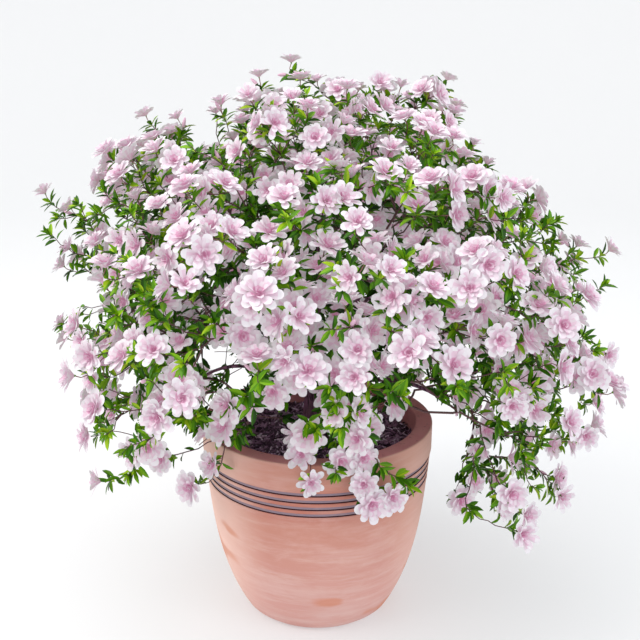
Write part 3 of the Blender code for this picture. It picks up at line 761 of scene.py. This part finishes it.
def arc_points(start, pull_a, pull_b, end, count):
    """Points along a cubic Bezier curve."""
    points = []
    for i in range(count):
        t = i / (count - 1)
        s = 1 - t
        points.append(start * s**3 + pull_a * 3 * s * s * t + pull_b * 3 * s * t * t + end * t**3)
    return points


TUBES = {}


def tube_shape(sides, rows):
    """A closed tube of unit radius whose rings stand at z = 0, 1, 2 and so on."""
    if (sides, rows) not in TUBES:
        bm = bmesh.new()
        bmesh.ops.create_grid(bm, x_segments=sides, y_segments=rows - 1, size=1.0)
        for vertex in bm.verts:
            turn = (vertex.co.x + 1) * math.pi
            row = (vertex.co.y + 1) / 2 * (rows - 1)
            vertex.co = (math.cos(turn), math.sin(turn), row)
        bmesh.ops.remove_doubles(bm, verts=bm.verts, dist=0.001)
        bmesh.ops.holes_fill(bm, edges=[edge for edge in bm.edges if edge.is_boundary])
        bmesh.ops.recalc_face_normals(bm, faces=bm.faces)
        TUBES[sides, rows] = shape_of(bm)
    return TUBES[sides, rows]


def ring_frames(path):
    """Two unit vectors across the path at each point, carried along without twist."""
    ways = np.gradient(path, axis=0)
    ways /= np.linalg.norm(ways, axis=1)[:, None]
    side = np.cross(ways[0], (0.0, 0.0, 1.0) if abs(ways[0][2]) < 0.9 else (1.0, 0.0, 0.0))
    sides = []
    for way in ways:
        side = side - way * (side @ way)
        side = side / np.linalg.norm(side)
        sides.append(side)
    sides = np.array(sides)
    return sides, np.cross(ways, sides)


def sweep(pile, path, radii, sides, tint=0, ridges=0.0):
    """Add a tapering tube along the path; ridges press in every other corner."""
    path = np.array([tuple(p) for p in path], float)
    shape = tube_shape(sides, len(path))
    first, second = ring_frames(path)
    rows = np.rint(shape.points[:, 2]).astype(int)
    across = shape.points[:, :1] * first[rows] + shape.points[:, 1:2] * second[rows]
    width = np.array(radii, float)[rows]
    if ridges:
        turn = np.arctan2(shape.points[:, 1], shape.points[:, 0])
        width = width * (1 - ridges * (np.rint(turn / math.tau * sides).astype(int) % 2))
    pile.add(shape, path[rows] + across * width[:, None], tint)


# ---------------------------------------------------------------- crown plan


def swell(way):
    """The outline's swells and hollows along a unit ray, as a share of the reach."""
    total = 0.0
    for bearing, rise, fade, share in SWELLS:
        total += share * (1 - blend(0.0, math.radians(fade), way.angle(ray(bearing, rise))))
    return total


def drawn_in(way):
    """How far the crown is drawn in over the front of the pot, as a share of the reach."""
    bearing = math.degrees(math.atan2(way.y, way.x))
    rise = math.degrees(math.asin(clamp(way.z, -1.0, 1.0)))
    off_front = abs((bearing - FRONT_BEARING + 180) % 360 - 180)
    front = 1 - blend(FRONT_HALF_WIDTH / 2, FRONT_HALF_WIDTH, off_front)
    return FRONT_DRAWN_IN * front * (1 - blend(*FRONT_RISES, rise))


def reach(way):
    """Distance from the hub to the crown's outline along a unit ray."""
    return (CROWN_REACH + CROWN_LEAN * way.x) * (1 + swell(way)) * (1 - drawn_in(way))


def plan_masses():
    masses = []
    for tier, count, first, rise, share, lift in TIERS:
        for i in range(count):
            way = ray(first + 360.0 * i / count, rise)
            name = tier if count == 1 else f"{tier}_{i + 1}"
            join = HUB + way * reach(way) * share
            masses.append({"name": name, "tier": tier, "lift": lift, "way": way, "join": join})
    return masses


def bough_points(mass, count):
    """The bough starts inside the trunk's head and sweeps up or over to its mass."""
    way = mass["way"]
    level = Vector((way.x, way.y, 0.0)).normalized()
    tilt = math.radians(mass["lift"])
    out = level * math.cos(tilt) + UP * math.sin(tilt)
    across = trunk_radius(TRUNK_HEIGHT)
    skin = Vector((out.x * across, out.y * across, out.z * HEAD_HEIGHT))
    root = trunk_centre(TRUNK_HEIGHT) + skin - out * BOUGH_SINK
    span = (mass["join"] - root).length
    over = UP * SKIRT_ARCH * span if mass["tier"] == "skirt" else Vector()
    pull_a = root + out * span * PULL_OUT + over
    pull_b = mass["join"] - way * span * PULL_IN + over
    return arc_points(root, pull_a, pull_b, mass["join"], count)


def stem_points(mass, count):
    """The mass's stem goes on from the bough's tip and ends inside the mass."""
    way = mass["way"]
    start = mass["join"]
    last = (mass["bough"][-1] - mass["bough"][-2]).normalized()
    end = HUB + way * reach(way) * STEM_END
    span = (end - start).length
    return arc_points(start, start + last * span * PULL_OUT, end - way * span * PULL_IN, end, count)


def open_way(way):
    """True where no ordinary shoot grows: in a window, or over the front of the rim."""
    if any(way.angle(ray(b, r)) < math.radians(half) for b, r, half in WINDOWS):
        return True
    first, last, highest = RIM_ZONE
    bearing = math.degrees(math.atan2(way.y, way.x)) % 360
    return first < bearing < last and way.z < math.sin(math.radians(highest))


def rim_facing(way):
    """Where a blossom over the rim looks: outwards and a little up."""
    return (way * FACE_OUT + UP * FACE_LIFT).normalized()


def nearest_mass(masses, way):
    return max(range(len(masses)), key=lambda i: masses[i]["way"].dot(way))


def strewn_tips(chance):
    """Golden-angle tips on and under the crown's outline: way and reach from the hub, in bloom."""
    low = math.sin(math.radians(LOWEST_RISE))
    tips = []
    for i in range(FINE_TIPS):
        height = low + (1 - low) * (i + 0.5) / FINE_TIPS
        rise = math.degrees(math.asin(height)) + chance.uniform(-1.5, 1.5)
        bearing = math.degrees(i * math.pi * (3 - math.sqrt(5))) + chance.uniform(-2.0, 2.0)
        way = ray(bearing, rise)
        patch = noise.noise(way * 2.7 + Vector((4.1, 0.3, 8.8)))
        clump = noise.noise(way * 7.5 + Vector((1.7, 6.2, 0.4)))
        depth = chance.uniform(*TIP_DEPTHS) - CLUMP_DEPTH * blend(-0.1, 0.35, clump)
        high = blend(0.45, 0.80, way.z)
        leafy = LEAFY_SIDE * blend(0.25, 0.75, way.x)
        leafy += LEAFY_TOP * high
        blooms = chance.random() < BLOOM_SHARE - leafy + 0.5 * patch
        if chance.random() < INNER_SHARE:
            depth = chance.uniform(*INNER_DEPTHS)
            blooms = chance.random() < INNER_BLOOM_SHARE
        thinned = THIN_SHARE * (1 - blend(*THIN_RISES, rise))
        thinned += OPEN_SHARE * max(high, blend(0.50, 0.85, -way.x))
        if not open_way(way) and chance.random() > thinned:
            tips.append((way, reach(way) * depth - BLOSSOM_HEIGHT, blooms))
    return tips


def placed_tips(chance):
    """The tips of the shoots that are placed one by one, in the same form."""
    tips = []
    for bearing, rise, length in LONG_SHOOTS:
        tips.append((ray(bearing, rise), length - SHOOT_TIP_HEIGHT, True))
        for _ in range(BESIDE_COUNT):
            turn, tilt = (a + chance.uniform(-BESIDE_OFF, BESIDE_OFF) for a in (bearing, rise))
            shorter = length * chance.uniform(*BESIDE_LENGTHS)
            tips.append((ray(turn, tilt), shorter, chance.random() < BESIDE_BLOOM_SHARE))
    for bearing, rise, length, blooms in SIDE_SHOOTS:
        tips.append((ray(bearing, rise), length - BLOSSOM_HEIGHT, blooms))
    for bearing, rise, length, blooms in RIM_SHOOTS:
        way = ray(bearing, rise)
        end = way * length - rim_facing(way) * (HEART_HEIGHT if blooms else 0.004)
        tips.append((end.normalized(), end.length, blooms))
    return tips


def plan_tips(masses):
    """Every tip outside the lines of sight as a dict, shortest reach first."""
    chance = random.Random(SEED)
    plans = ((strewn_tips, STREWN_MARGIN, False), (placed_tips, PLACED_MARGIN, True))
    tips = []
    for plan, margin, placed in plans:
        for way, length, blooms in plan(chance):
            if in_sight_line(HUB + way * length, margin):
                continue
            owner = nearest_mass(masses, way)
            droops = open_way(way) and length < DROOP_REACH
            tip = {"way": way, "length": length, "owner": owner, "blooms": blooms}
            tips.append(tip | {"droops": droops, "placed": placed})
    return sorted(tips, key=lambda tip: tip["length"])


# ---------------------------------------------------------------- growth


def clear_of_pot(spot, margin):
    """True off the pot's wall and rim and above the soil, by a margin."""
    across = math.hypot(spot.x, spot.y)
    if across > RIM_RADIUS + margin or spot.z > POT_HEIGHT + margin:
        return True
    return across < RIM_RADIUS - RIM_WIDTH - margin and spot.z > SOIL_LEVEL + margin


def in_sight_line(spot, margin):
    """True within an open line of sight through the crown, or closer to it than a margin."""
    for x, z, radius in SIGHT_LINES:
        line = (Vector((x, 0.0, z)) - SIGHT_FROM).normalized()
        if (spot - SIGHT_FROM).cross(line).length < radius + margin:
            return True
    return False


class Wood:
    """The crown's woody knots, each with a place, a direction, a parent and its mass."""

    def __init__(self):
        self.place = np.zeros((KNOT_ROOM, 3))
        self.way = np.zeros((KNOT_ROOM, 3))
        self.parent = np.full(KNOT_ROOM, -1)
        self.owner = np.full(KNOT_ROOM, -1)
        self.count = 0
        self.chains = []

    def grow(self, points, parent, owner):
        """Add a chain of knots; the first point is the parent's own place."""
        chain = [parent]
        for before, after in zip(points, points[1:]):
            knot = self.count
            self.place[knot] = after
            self.way[knot] = (after - before).normalized()
            self.parent[knot] = chain[-1]
            self.owner[knot] = owner
            chain.append(knot)
            self.count += 1
        self.chains.append((points, chain))
        return chain[-1]

    def best_knot(self, tip, owner):
        """The knot from which a twig reaches the tip with the least length and bend."""
        mine = np.flatnonzero(self.owner[: self.count] == owner)
        gap = np.array(tip) - self.place[mine]
        far = np.linalg.norm(gap, axis=1)
        ways = gap / np.maximum(far, 1e-6)[:, None]
        outward = ways @ np.array((tip - HUB).normalized())
        onward = (ways * self.way[mine]).sum(1)
        cost = far * (KNOT_COST - outward - KNOT_BEND * onward)
        astray = (outward < LEAST_OUTWARD) | (onward < LEAST_ONWARD)
        cost[(far < NEAREST_KNOT) | astray] += 1.0
        return int(mine[cost.argmin()])

    def loads(self):
        """How many tips each knot carries."""
        carried = np.zeros(self.count)
        for _, chain in self.chains:
            carried[chain[-1]] = max(carried[chain[-1]], 1)
        for knot in range(self.count - 1, -1, -1):
            if self.parent[knot] >= 0:
                carried[self.parent[knot]] += carried[knot]
        return carried


def grow_wood(masses, tips):
    """Stems first, then a twig to each tip, shortest reach first."""
    chance = random.Random(SEED + 1)
    wood = Wood()
    for owner, mass in enumerate(masses):
        mass["bough"] = bough_points(mass, 12)
        wood.place[wood.count] = mass["join"]
        wood.way[wood.count] = mass["way"]
        root = wood.count
        wood.count += 1
        wood.grow(stem_points(mass, 9), root, owner)
    grown = []
    for tip in tips:
        way = tip["way"]
        end = HUB + way * tip["length"]
        knot = wood.best_knot(end, tip["owner"])
        start = Vector(wood.place[knot])
        rising = TIP_DROOP if tip["droops"] else TIP_RISE - TIP_FALL * way.z
        heading = (way + UP * rising + wander(chance, TIP_WANDER)).normalized()
        span = (end - start).length
        leave = (Vector(wood.way[knot]) * KNOT_WAY + (end - start).normalized()).normalized()
        count = max(3, round(span / STEP) + 1)
        for lift in LIFTS:
            pull_a = start + leave * span * TWIG_PULLS[0] + UP * lift
            pull_b = end - heading * span * TWIG_PULLS[1] + UP * lift
            points = arc_points(start, pull_a, pull_b, end, count)
            for i in range(1, len(points) - 1):
                points[i] += wander(chance, KNOT_WANDER)
            if all(clear_of_pot(p, TWIG_CLEARANCE) for p in points[1:]):
                knot = wood.grow(points, knot, tip["owner"])
                grown.append(tip | {"knot": knot, "points": points})
                break
    return wood, grown


def wander(chance, size):
    return Vector((chance.gauss(0, size), chance.gauss(0, size), chance.gauss(0, size)))


# ---------------------------------------------------------------- leaves and blossoms


def leaf_shape(fold, arch, twist):
    """A pointed oval leaf one unit long along +Z, its upper side towards +Y, folded on its rib."""
    bm = bmesh.new()
    bmesh.ops.create_grid(bm, x_segments=2, y_segments=4, size=1.0)
    stations = (0.0, 0.22, 0.52, 0.80, 1.0)
    widths = (0.0, 0.120, 0.172, 0.112, 0.0)
    for vertex in bm.verts:
        row = round((vertex.co.y + 1) * 2)
        side = round(vertex.co.x)
        t = stations[row]
        lift = fold * abs(side) * widths[row] - arch * t * t
        vertex.co = (side * widths[row], lift + twist * side * widths[row] * t, t)
    bmesh.ops.remove_doubles(bm, verts=bm.verts, dist=0.001)
    # Painted shade: the half on +X takes the next, darker tint, as if the fold shaded it
    return shape_of(bm, lambda face: int(face.calc_center_median().x > 0))


# Petals by whorl: count, length, width, angles from the axis at root and tip, cupping,
# columns, height of the root, and the tints of each row of faces, inner and outer columns
WHORLS = (
    (8, 0.0240, 0.0132, 58.0, 95.0, 0.12, 3, 0.0000, ((1, 2), (2, 3), (4, 4))),
    (7, 0.0218, 0.0118, 42.0, 79.0, 0.22, 2, 0.0004, ((1, 2), (2, 3), (4, 3))),
    (6, 0.0166, 0.0094, 24.0, 58.0, 0.36, 2, 0.0012, ((0, 1), (2, 3))),
    (4, 0.0102, 0.0070, 5.0, 30.0, 0.45, 2, 0.0022, ((0, 0), (1, 2))),
)
# Petals by rows of faces: where each row of points stands along the petal, and its breadth
PETAL_ROWS = {
    3: ((0.0, 0.36, 0.75, 1.0), (0.18, 0.68, 1.0, 0.74)),
    2: ((0.0, 0.60, 1.0), (0.30, 1.0, 0.72)),
}


def petal_shape(length, width, near, far, cup, columns, tints):
    """A petal that leaves the axis at one angle and opens to another, with a rounded end."""
    rows = len(tints)
    stations, breadths = PETAL_ROWS[rows]
    bm = bmesh.new()
    bmesh.ops.create_grid(bm, x_segments=columns, y_segments=rows, size=1.0)
    bands = {}
    for face in bm.faces:
        centre = face.calc_center_median()
        side = abs(centre.x) > 0.5 if columns == 3 else centre.x > 0
        bands[face] = tints[int((centre.y + 1) / 2 * rows)][int(side)]
    for vertex in bm.verts:
        u = vertex.co.x
        row = round((vertex.co.y + 1) / 2 * rows)
        t = stations[row] * (1 - 0.08 * u * u * (row == rows))
        across = width * breadths[row] / 2
        r, z = petal_course(length * t, near, far, t)
        tilt = math.radians(near + (far - near) * t)
        lift = cup * u * u * across
        vertex.co = (r - math.cos(tilt) * lift, u * across, z + math.sin(tilt) * lift)
    return shape_of(bm, lambda face: bands[face])


def petal_course(run, near, far, share, steps=8):
    """Radius and height after a run along a petal whose angle from the axis opens steadily."""
    r, z = 0.0012, 0.0
    for i in range(steps):
        tilt = math.radians(near + (far - near) * share * (i + 0.5) / steps)
        r += math.sin(tilt) * run / steps
        z += math.cos(tilt) * run / steps
    return r, z


def blossom_shape(chance, opening):
    """A double blossom: four whorls of petals over a short tube and a green calyx."""
    bm = bmesh.new()
    size = {"radius1": 0.0010, "radius2": 0.0024, "depth": 0.0036}
    bmesh.ops.create_cone(bm, cap_ends=True, segments=5, **size)
    tube = shape_of(bm, lambda face: 0 if face.calc_center_median().z > 0.001 else 5)
    pile = Pile()
    pile.add(tube, tube.points)
    turn = chance.uniform(0, math.tau)
    loose = 1 + 1.6 * (1 - opening)
    for count, length, width, near, far, cup, columns, height, tints in WHORLS:
        turn += math.tau / 11
        count -= 1 if opening < 0.80 and count > 4 else 0
        for i in range(count):
            run = length * chance.uniform(0.90, 1.10)
            wave = chance.uniform(-11, 11) * loose
            leave = near * opening**1.5 + wave * 0.4
            open_to = far * (0.55 + 0.45 * opening) + wave
            breadth = width * opening * chance.uniform(0.88, 1.1)
            curl = cup * chance.uniform(0.4, 1.5)
            petal = petal_shape(run, breadth, leave, open_to, curl, columns, tints)
            spin = turn + math.tau * i / count + chance.uniform(-0.12, 0.12) * loose
            roll = Matrix.Rotation(chance.uniform(-0.28, 0.28), 4, "X")
            where = Matrix.Translation((0, 0, height)) @ Matrix.Rotation(spin, 4, "Z")
            pile.put(petal, where @ roll)
    return pile.joined()


def bud_shape():
    """A closed bud: a pointed spindle on a green calyx."""
    bm = bmesh.new()
    bmesh.ops.create_uvsphere(bm, u_segments=6, v_segments=5, radius=1.0)
    for vertex in bm.verts:
        x, y, z = vertex.co
        girth = 0.0026 * (1 - 0.25 * z)
        vertex.co = (x * girth, y * girth, 0.0075 + z * 0.0075)
    return shape_of(bm, lambda face: 5 if face.calc_center_median().z < 0.003 else 1)


def aimed(spot, heading, spin=0.0, size=1.0):
    """A matrix that stands a shape at a spot with its +Z along heading, turned about it."""
    turn = heading.to_track_quat("Z", "Y").to_matrix().to_4x4()
    return Matrix.Translation(spot) @ turn @ Matrix.Rotation(spin, 4, "Z") @ Matrix.Scale(size, 4)


def leaning(spot, axis, turn, tilt):
    """Unit vector at a tilt from the axis and a turn about it, in radians."""
    around = aimed(spot, axis, turn).to_3x3()
    return (around @ Vector((math.sin(tilt), 0, math.cos(tilt)))).normalized()


def leaf_matrix(spot, heading, face_up, roll, size):
    """A matrix for a leaf along heading with its upper side turned as far as it goes to face_up."""
    z = heading.normalized()
    y = face_up - z * face_up.dot(z)
    y = y.normalized() if y.length > 1e-4 else z.orthogonal().normalized()
    x = y.cross(z)
    turn = Matrix((x, y, z)).transposed().to_4x4()
    return Matrix.Translation(spot) @ turn @ Matrix.Rotation(roll, 4, "Z") @ Matrix.Scale(size, 4)


class Foliage:
    """Grows leaves, blossoms and buds on the twigs and keeps them by tier."""

    def __init__(self):
        self.chance = random.Random(SEED + 2)
        self.leaves = {tier[0]: Pile() for tier in TIERS}
        self.blossoms = {tier[0]: Pile() for tier in TIERS}
        self.stalks = Pile()
        self.hearts = []
        bends = ((0.55, 0.12, 0.0), (0.40, 0.22, 0.15), (0.75, 0.05, -0.12))
        self.leaf_shapes = [leaf_shape(*bend) for bend in bends]
        openings = (1.0, 0.98, 0.96, 0.93, 0.90, 0.87, 0.84, 0.80, 0.75, 0.70, 0.95, 0.88)
        self.blossom_shapes = [blossom_shape(self.chance, opening) for opening in openings]
        self.bud = bud_shape()

    def leaf(self, tier, spot, heading, length, tint):
        end = spot + heading * length
        clear = clear_of_pot(end, LEAF_CLEARANCE) and clear_of_pot(spot, LEAF_ROOT_CLEARANCE)
        if not clear or in_sight_line(end, LEAF_MARGIN):
            return
        outward = (spot - HUB).normalized()
        face_up = UP * LEAF_UP + outward * LEAF_OUT + wander(self.chance, LEAF_WANDER)
        roll = self.chance.gauss(0, LEAF_ROLL)
        where = leaf_matrix(spot, heading, face_up, roll, length)
        self.leaves[tier].put(self.chance.choice(self.leaf_shapes), where, tint)

    def whorl(self, tier, spot, axis, count, spread, length, tints):
        """Leaves round a twig at the golden angle."""
        first = self.chance.uniform(0, math.tau)
        for i in range(count):
            tilt = math.radians(self.chance.uniform(*spread))
            heading = leaning(spot, axis, first + i * LEAF_TURN, tilt)
            size = length * self.chance.uniform(0.78, 1.15)
            back = axis * self.chance.uniform(0.0, 0.005)
            self.leaf(tier, spot - back, heading, size, self.chance.choice(tints))

    def shade(self, spot):
        """0 at the crown's outline and 1 deep inside it."""
        way = (spot - HUB).normalized()
        return clamp((SHADE_START - (spot - HUB).length / reach(way)) / SHADE_FADE)

    def leaf_tints(self, spot):
        """Tints 0 young to 5 shaded: lighter outside, young leaves and painted light; darker
        inside, painted shade.
        """
        depth = self.shade(spot)
        if depth > 0.7:
            return (2, 3, 4, 4)
        if depth > 0.3:
            return (1, 2, 3, 3)
        return (0, 1, 1, 2, 2, 3)

    def blossom(self, tier, base, axis, spacing, placed):
        rise = (base - HUB).normalized().z
        size = self.chance.uniform(0.88, 1.08) * (1 - SMALLER_ABOVE * blend(0.2, 0.85, rise))
        size *= SHOOT_BLOSSOM if placed and rise > 0 else 1.0
        heart = base + axis * HEART_DEPTH
        margin = PLACED_HEART_MARGIN if placed else STREWN_HEART_MARGIN
        if not clear_of_pot(heart, HEART_CLEARANCE) or in_sight_line(heart, margin):
            return False
        if any((heart - other).length < spacing * size for other in self.hearts):
            return False
        self.hearts.append(heart)
        half_open = placed and rise > 0
        shape = self.chance.choice(self.blossom_shapes[4:10] if half_open else self.blossom_shapes)
        self.blossoms[tier].put(shape, aimed(base, axis, self.chance.uniform(0, math.tau), size))
        return True

    def blossom_tip(self, tier, tip, axis, way, droops, placed):
        """One to three blossoms on short stalks, with leaves under them."""
        chance = self.chance
        count = 1 if droops or placed else chance.choice((1, 1, 1, 2, 2, 3))
        first = chance.uniform(0, math.tau)
        facing = way * FACE_OUT + UP * FACE_LIFT + axis * FACE_ALONG
        facing = facing + wander(chance, TIP_WANDER)
        if placed and way.z < 0:
            facing += FRONT * chance.uniform(*FRONT_LEANS)
        facing.normalize()
        if droops:
            facing = (rim_facing(way) + wander(chance, 0.12)).normalized()
        for i in range(count):
            lean = math.radians(0 if count == 1 else chance.uniform(38, 56))
            heading = leaning(tip, facing, first + math.tau * i / count, lean)
            heading = (heading + UP * max(0.0, FACE_UP - heading.z)).normalized()
            longer = 0.005 if count > 1 else 0.004 * blend(0.2, 0.8, way.z)
            stalk = chance.uniform(*STALK_LENGTHS) + longer
            stalk = DROOP_STALK if droops else stalk
            base = tip + heading * stalk
            spacing = BLOSSOM_SPACING * (DROOP_SPACING if droops else 1.0)
            if self.blossom(tier, base, heading, spacing, placed):
                middle = tip + (axis + heading) * stalk * 0.28
                sweep(self.stalks, [tip - axis * 0.001, middle, base], STALK_RADII, 4, 2)
        if not droops and chance.random() < BUD_SHARE:
            heading = (facing + wander(chance, 0.6)).normalized()
            base = tip + heading * BUD_STALK
            where = aimed(base, heading, 0.0, chance.uniform(0.8, 1.1))
            self.blossoms[tier].put(self.bud, where)
            sweep(self.stalks, [tip, tip + heading * 0.004, base], [STALK_RADII[1]] * 3, 4, 2)
        tints = self.leaf_tints(tip)
        count = chance.choice((4, 5, 5)) + (1 if way.z > 0.5 else 0)
        self.whorl(tier, tip - axis * 0.001, axis, count, (50, 84), LEAF_LENGTH, tints)
        count = chance.choice((2, 3, 3))
        self.whorl(tier, tip - axis * 0.010, axis, count, (50, 82), LEAF_LENGTH * 1.05, tints)

    def leafy_tip(self, tier, tip, axis):
        """A rosette: young leaves at its heart, grown ones round them."""
        chance = self.chance
        tints = self.leaf_tints(tip)
        young = (0, 0, 1) if self.shade(tip) < 0.3 else tints
        self.whorl(tier, tip, axis, 3, (12, 34), LEAF_LENGTH * 0.62, young)
        count = chance.choice((4, 5))
        self.whorl(tier, tip - axis * 0.002, axis, count, (38, 68), LEAF_LENGTH, tints)
        count = chance.choice((2, 3))
        self.whorl(tier, tip - axis * 0.009, axis, count, (55, 85), LEAF_LENGTH * 1.08, tints)

    def along_twig(self, tier, points):
        """Single leaves up the outer part of a twig."""
        chance = self.chance
        count = len(points)
        for i in range(max(1, int(count * BARE_SHARE)), count - 1):
            if chance.random() < TWIG_LEAF_SHARE:
                way = (points[i + 1] - points[i - 1]).normalized()
                spot = points[i].lerp(points[i + 1], chance.random())
                turn = chance.uniform(0, math.tau)
                heading = leaning(spot, way, turn, math.radians(chance.uniform(40, 75)))
                tint = chance.choice(self.leaf_tints(spot))
                self.leaf(tier, spot, heading, LEAF_LENGTH * chance.uniform(0.75, 1.15), tint)

    def dress_twig(self, masses, twig):
        tier = masses[twig["owner"]]["tier"]
        points = twig["points"]
        axis = (points[-1] - points[-2]).normalized()
        if twig["blooms"]:
            self.blossom_tip(tier, points[-1], axis, twig["way"], twig["droops"], twig["placed"])
        else:
            self.leafy_tip(tier, points[-1], axis)
        self.along_twig(tier, points)


# ---------------------------------------------------------------- trunk and boughs


def build_trunk(masses):
    """The foot: a fluted core with one stem laid against it for each bough, running up into it."""
    bark = bark_finish("trunk_bark", (0.030, 0.008, 0.023), (0.310, 0.135, 0.230))
    core = Pile()
    heights = np.linspace(0.0, TRUNK_HEIGHT, 14)
    path = [trunk_centre(h) for h in heights]
    radii = [trunk_radius(h) * CORE_SHARE for h in heights]
    for turn in HEAD_TURNS:
        tilt = math.radians(turn)
        path.append(trunk_centre(TRUNK_HEIGHT) + UP * HEAD_HEIGHT * math.sin(tilt))
        radii.append(trunk_radius(TRUNK_HEIGHT) * math.cos(tilt) * CORE_SHARE)
    sweep(core, path, radii, TRUNK_FLUTES * 4, 0, 0.10)
    dress(core.to_object("trunk_core", [bark]), "bark", "trunk")
    limbs = Pile()
    for i, mass in enumerate(masses):
        radii = [*FOOT_RADII, *np.linspace(*BOUGH_RADII, len(mass["bough"]) - 1)]
        sweep(limbs, foot_points(mass, i) + mass["bough"][1:], radii, 10, 0, 0.08)
    boughs = limbs.to_object("boughs", [bark])
    dress(boughs, "bark", *[f"{mass['name']}_bough" for mass in masses])


def foot_points(mass, number):
    """A stem's lowest stretch, from the soil up the trunk's side to the bough's root."""
    root = mass["bough"][0]
    turn = math.atan2(mass["way"].y, mass["way"].x)
    points = []
    for height in FOOT_HEIGHTS:
        spread = trunk_radius(height) - FOOT_INSETS[mass["tier"]]
        lean = turn + 0.25 * math.sin(number * 2.4) * (1 - height / TRUNK_HEIGHT)
        points.append(trunk_centre(height) + Vector((math.cos(lean), math.sin(lean), 0)) * spread)
    return points + [points[-1].lerp(root, 0.55) + (root - trunk_centre(TRUNK_HEIGHT)) * 0.2]


# Greens from young at the outline to painted shade deep in the crown and on a leaf's folded half
LEAF_GREENS = (
    ("leaf_young", (0.350, 0.520, 0.016)),
    ("leaf_bright", (0.176, 0.372, 0.006)),
    ("leaf_fresh", (0.086, 0.240, 0.003)),
    ("leaf_green", (0.040, 0.144, 0.0015)),
    ("leaf_deep_shade", (0.016, 0.070, 0.001)),
    ("leaf_shade", (0.008, 0.036, 0.001)),
)
PETAL_PINKS = (
    ("petal_throat", (0.605, 0.318, 0.455)),
    ("petal_rose", (0.622, 0.396, 0.508)),
    ("petal_pink", (0.636, 0.480, 0.564)),
    ("petal_blush", (0.650, 0.566, 0.618)),
    ("petal_edge", (0.664, 0.632, 0.660)),
    ("calyx", (0.120, 0.210, 0.035)),
)


def build_crown():
    masses = plan_masses()
    wood, twigs = grow_wood(masses, plan_tips(masses))
    build_trunk(masses)
    foliage = Foliage()
    for twig in sorted(twigs, key=lambda twig: not twig["placed"]):
        foliage.dress_twig(masses, twig)
    build_twigs(masses, wood, foliage)
    for name, slot, piles, painted_glow, roughness, colours in (
        ("leaves", "leaf", foliage.leaves, LEAF_PAINTED_GLOW, 0.40, LEAF_GREENS),
        ("blossoms", "blossom", foliage.blossoms, PETAL_PAINTED_GLOW, 0.62, PETAL_PINKS),
    ):
        finish = {"Roughness": roughness, "Specular_IOR_Level": 0.20}
        # Petals and leaves carry a painted glow, emission in their own colour
        materials = [plain_finish(*named, painted_glow, **finish) for named in colours]
        for tier, pile in piles.items():
            nodes = [f"{mass['name']}_mass" for mass in masses if mass["tier"] == tier]
            dress(pile.to_object(f"{name}_{tier}", materials), slot, *nodes)


def build_twigs(masses, wood, foliage):
    """Every stem and twig as a tube whose thickness follows the tips it carries."""
    carried = wood.loads()
    pile = foliage.stalks
    for points, chain in wood.chains:
        loads = carried[chain[1:]]
        radii = np.minimum(TWIG_RADIUS * loads**LOAD_POWER, STEM_RADIUS)
        tint = 0 if loads[0] > 3 else 1
        sweep(pile, points, [radii[0], *radii], TWIG_SIDES, tint)
    materials = [
        plain_finish("stem_brown", (0.170, 0.085, 0.085), Roughness=0.7),
        plain_finish("twig_brown", (0.125, 0.046, 0.055), Roughness=0.65),
        plain_finish("stalk_red", (0.270, 0.120, 0.110), Roughness=0.6),
    ]
    nodes = [f"{mass['name']}_mass" for mass in masses]
    dress(pile.to_object("twigs", materials), "bark", *nodes)


# ---------------------------------------------------------------- stage


def studio_white():
    """The floor's white, with a little cool light of its own to keep its shadows pale."""
    light = {"Emission_Color": (0.965, 0.98, 1.0, 1.0), "Emission_Strength": 0.38}
    grey = (0.50, 0.50, 0.50, 1.0)
    return Finish("studio_white", Base_Color=grey, Roughness=0.9, **light).material


def build_stage():
    """A pale floor that curves up into a wall all round, open to the sky."""
    profile = [(0.0, 0.0)] + [(r, 0.0) for r in np.linspace(0.5, FLOOR_REACH, 8)]
    profile += rounded((FLOOR_REACH, FLOOR_CURVE), FLOOR_CURVE, -90, 0, 14)[1:]
    profile += [(FLOOR_REACH + FLOOR_CURVE, WALL_TOP)]
    bm = spun(profile, 96)
    floor = finished("studio_floor", bm, [studio_white()], 80.0)


def add_light(name, spot, size, energy, colour):
    light = bpy.data.lights.new(name, "AREA")
    light.shape = "DISK"
    light.size = size
    light.energy = energy
    light.color = colour
    holder = place(name, light)
    holder.location = spot
    holder.rotation_mode = "QUATERNION"
    holder.rotation_quaternion = (LIGHT_TARGET - Vector(spot)).to_track_quat("-Z", "Y")


def build_lights():
    world = bpy.data.worlds.new("soft_white")
    world.use_nodes = True
    sky = world.node_tree.nodes["Background"]
    sky.inputs["Color"].default_value = (0.97, 0.985, 1.0, 1.0)
    sky.inputs["Strength"].default_value = 0.93
    bpy.context.scene.world = world
    add_light("key", (-2.3, -1.1, 3.0), 2.4, 61.5, (1.0, 0.968, 0.93))
    add_light("fill", (2.4, -1.6, 2.0), 2.6, 26.0, (0.86, 0.93, 1.0))
    add_light("ceiling", (-0.4, 0.2, 3.6), 3.0, 28.0, (1.0, 0.99, 0.98))


def build_camera():
    data = bpy.data.cameras.new("camera")
    data.sensor_width = 36.0
    data.lens = 56.25
    data.clip_end = 50.0
    camera = place("camera", data)
    camera.location = SIGHT_FROM
    camera.rotation_euler = (math.radians(90.0 - CAMERA_PITCH), 0.0, 0.0)
    bpy.context.scene.camera = camera


bpy.context.scene.view_settings.view_transform = "Standard"
build_pot()
build_soil(random.Random(SEED + 3))
build_crown()
build_stage()
build_lights()
build_camera()
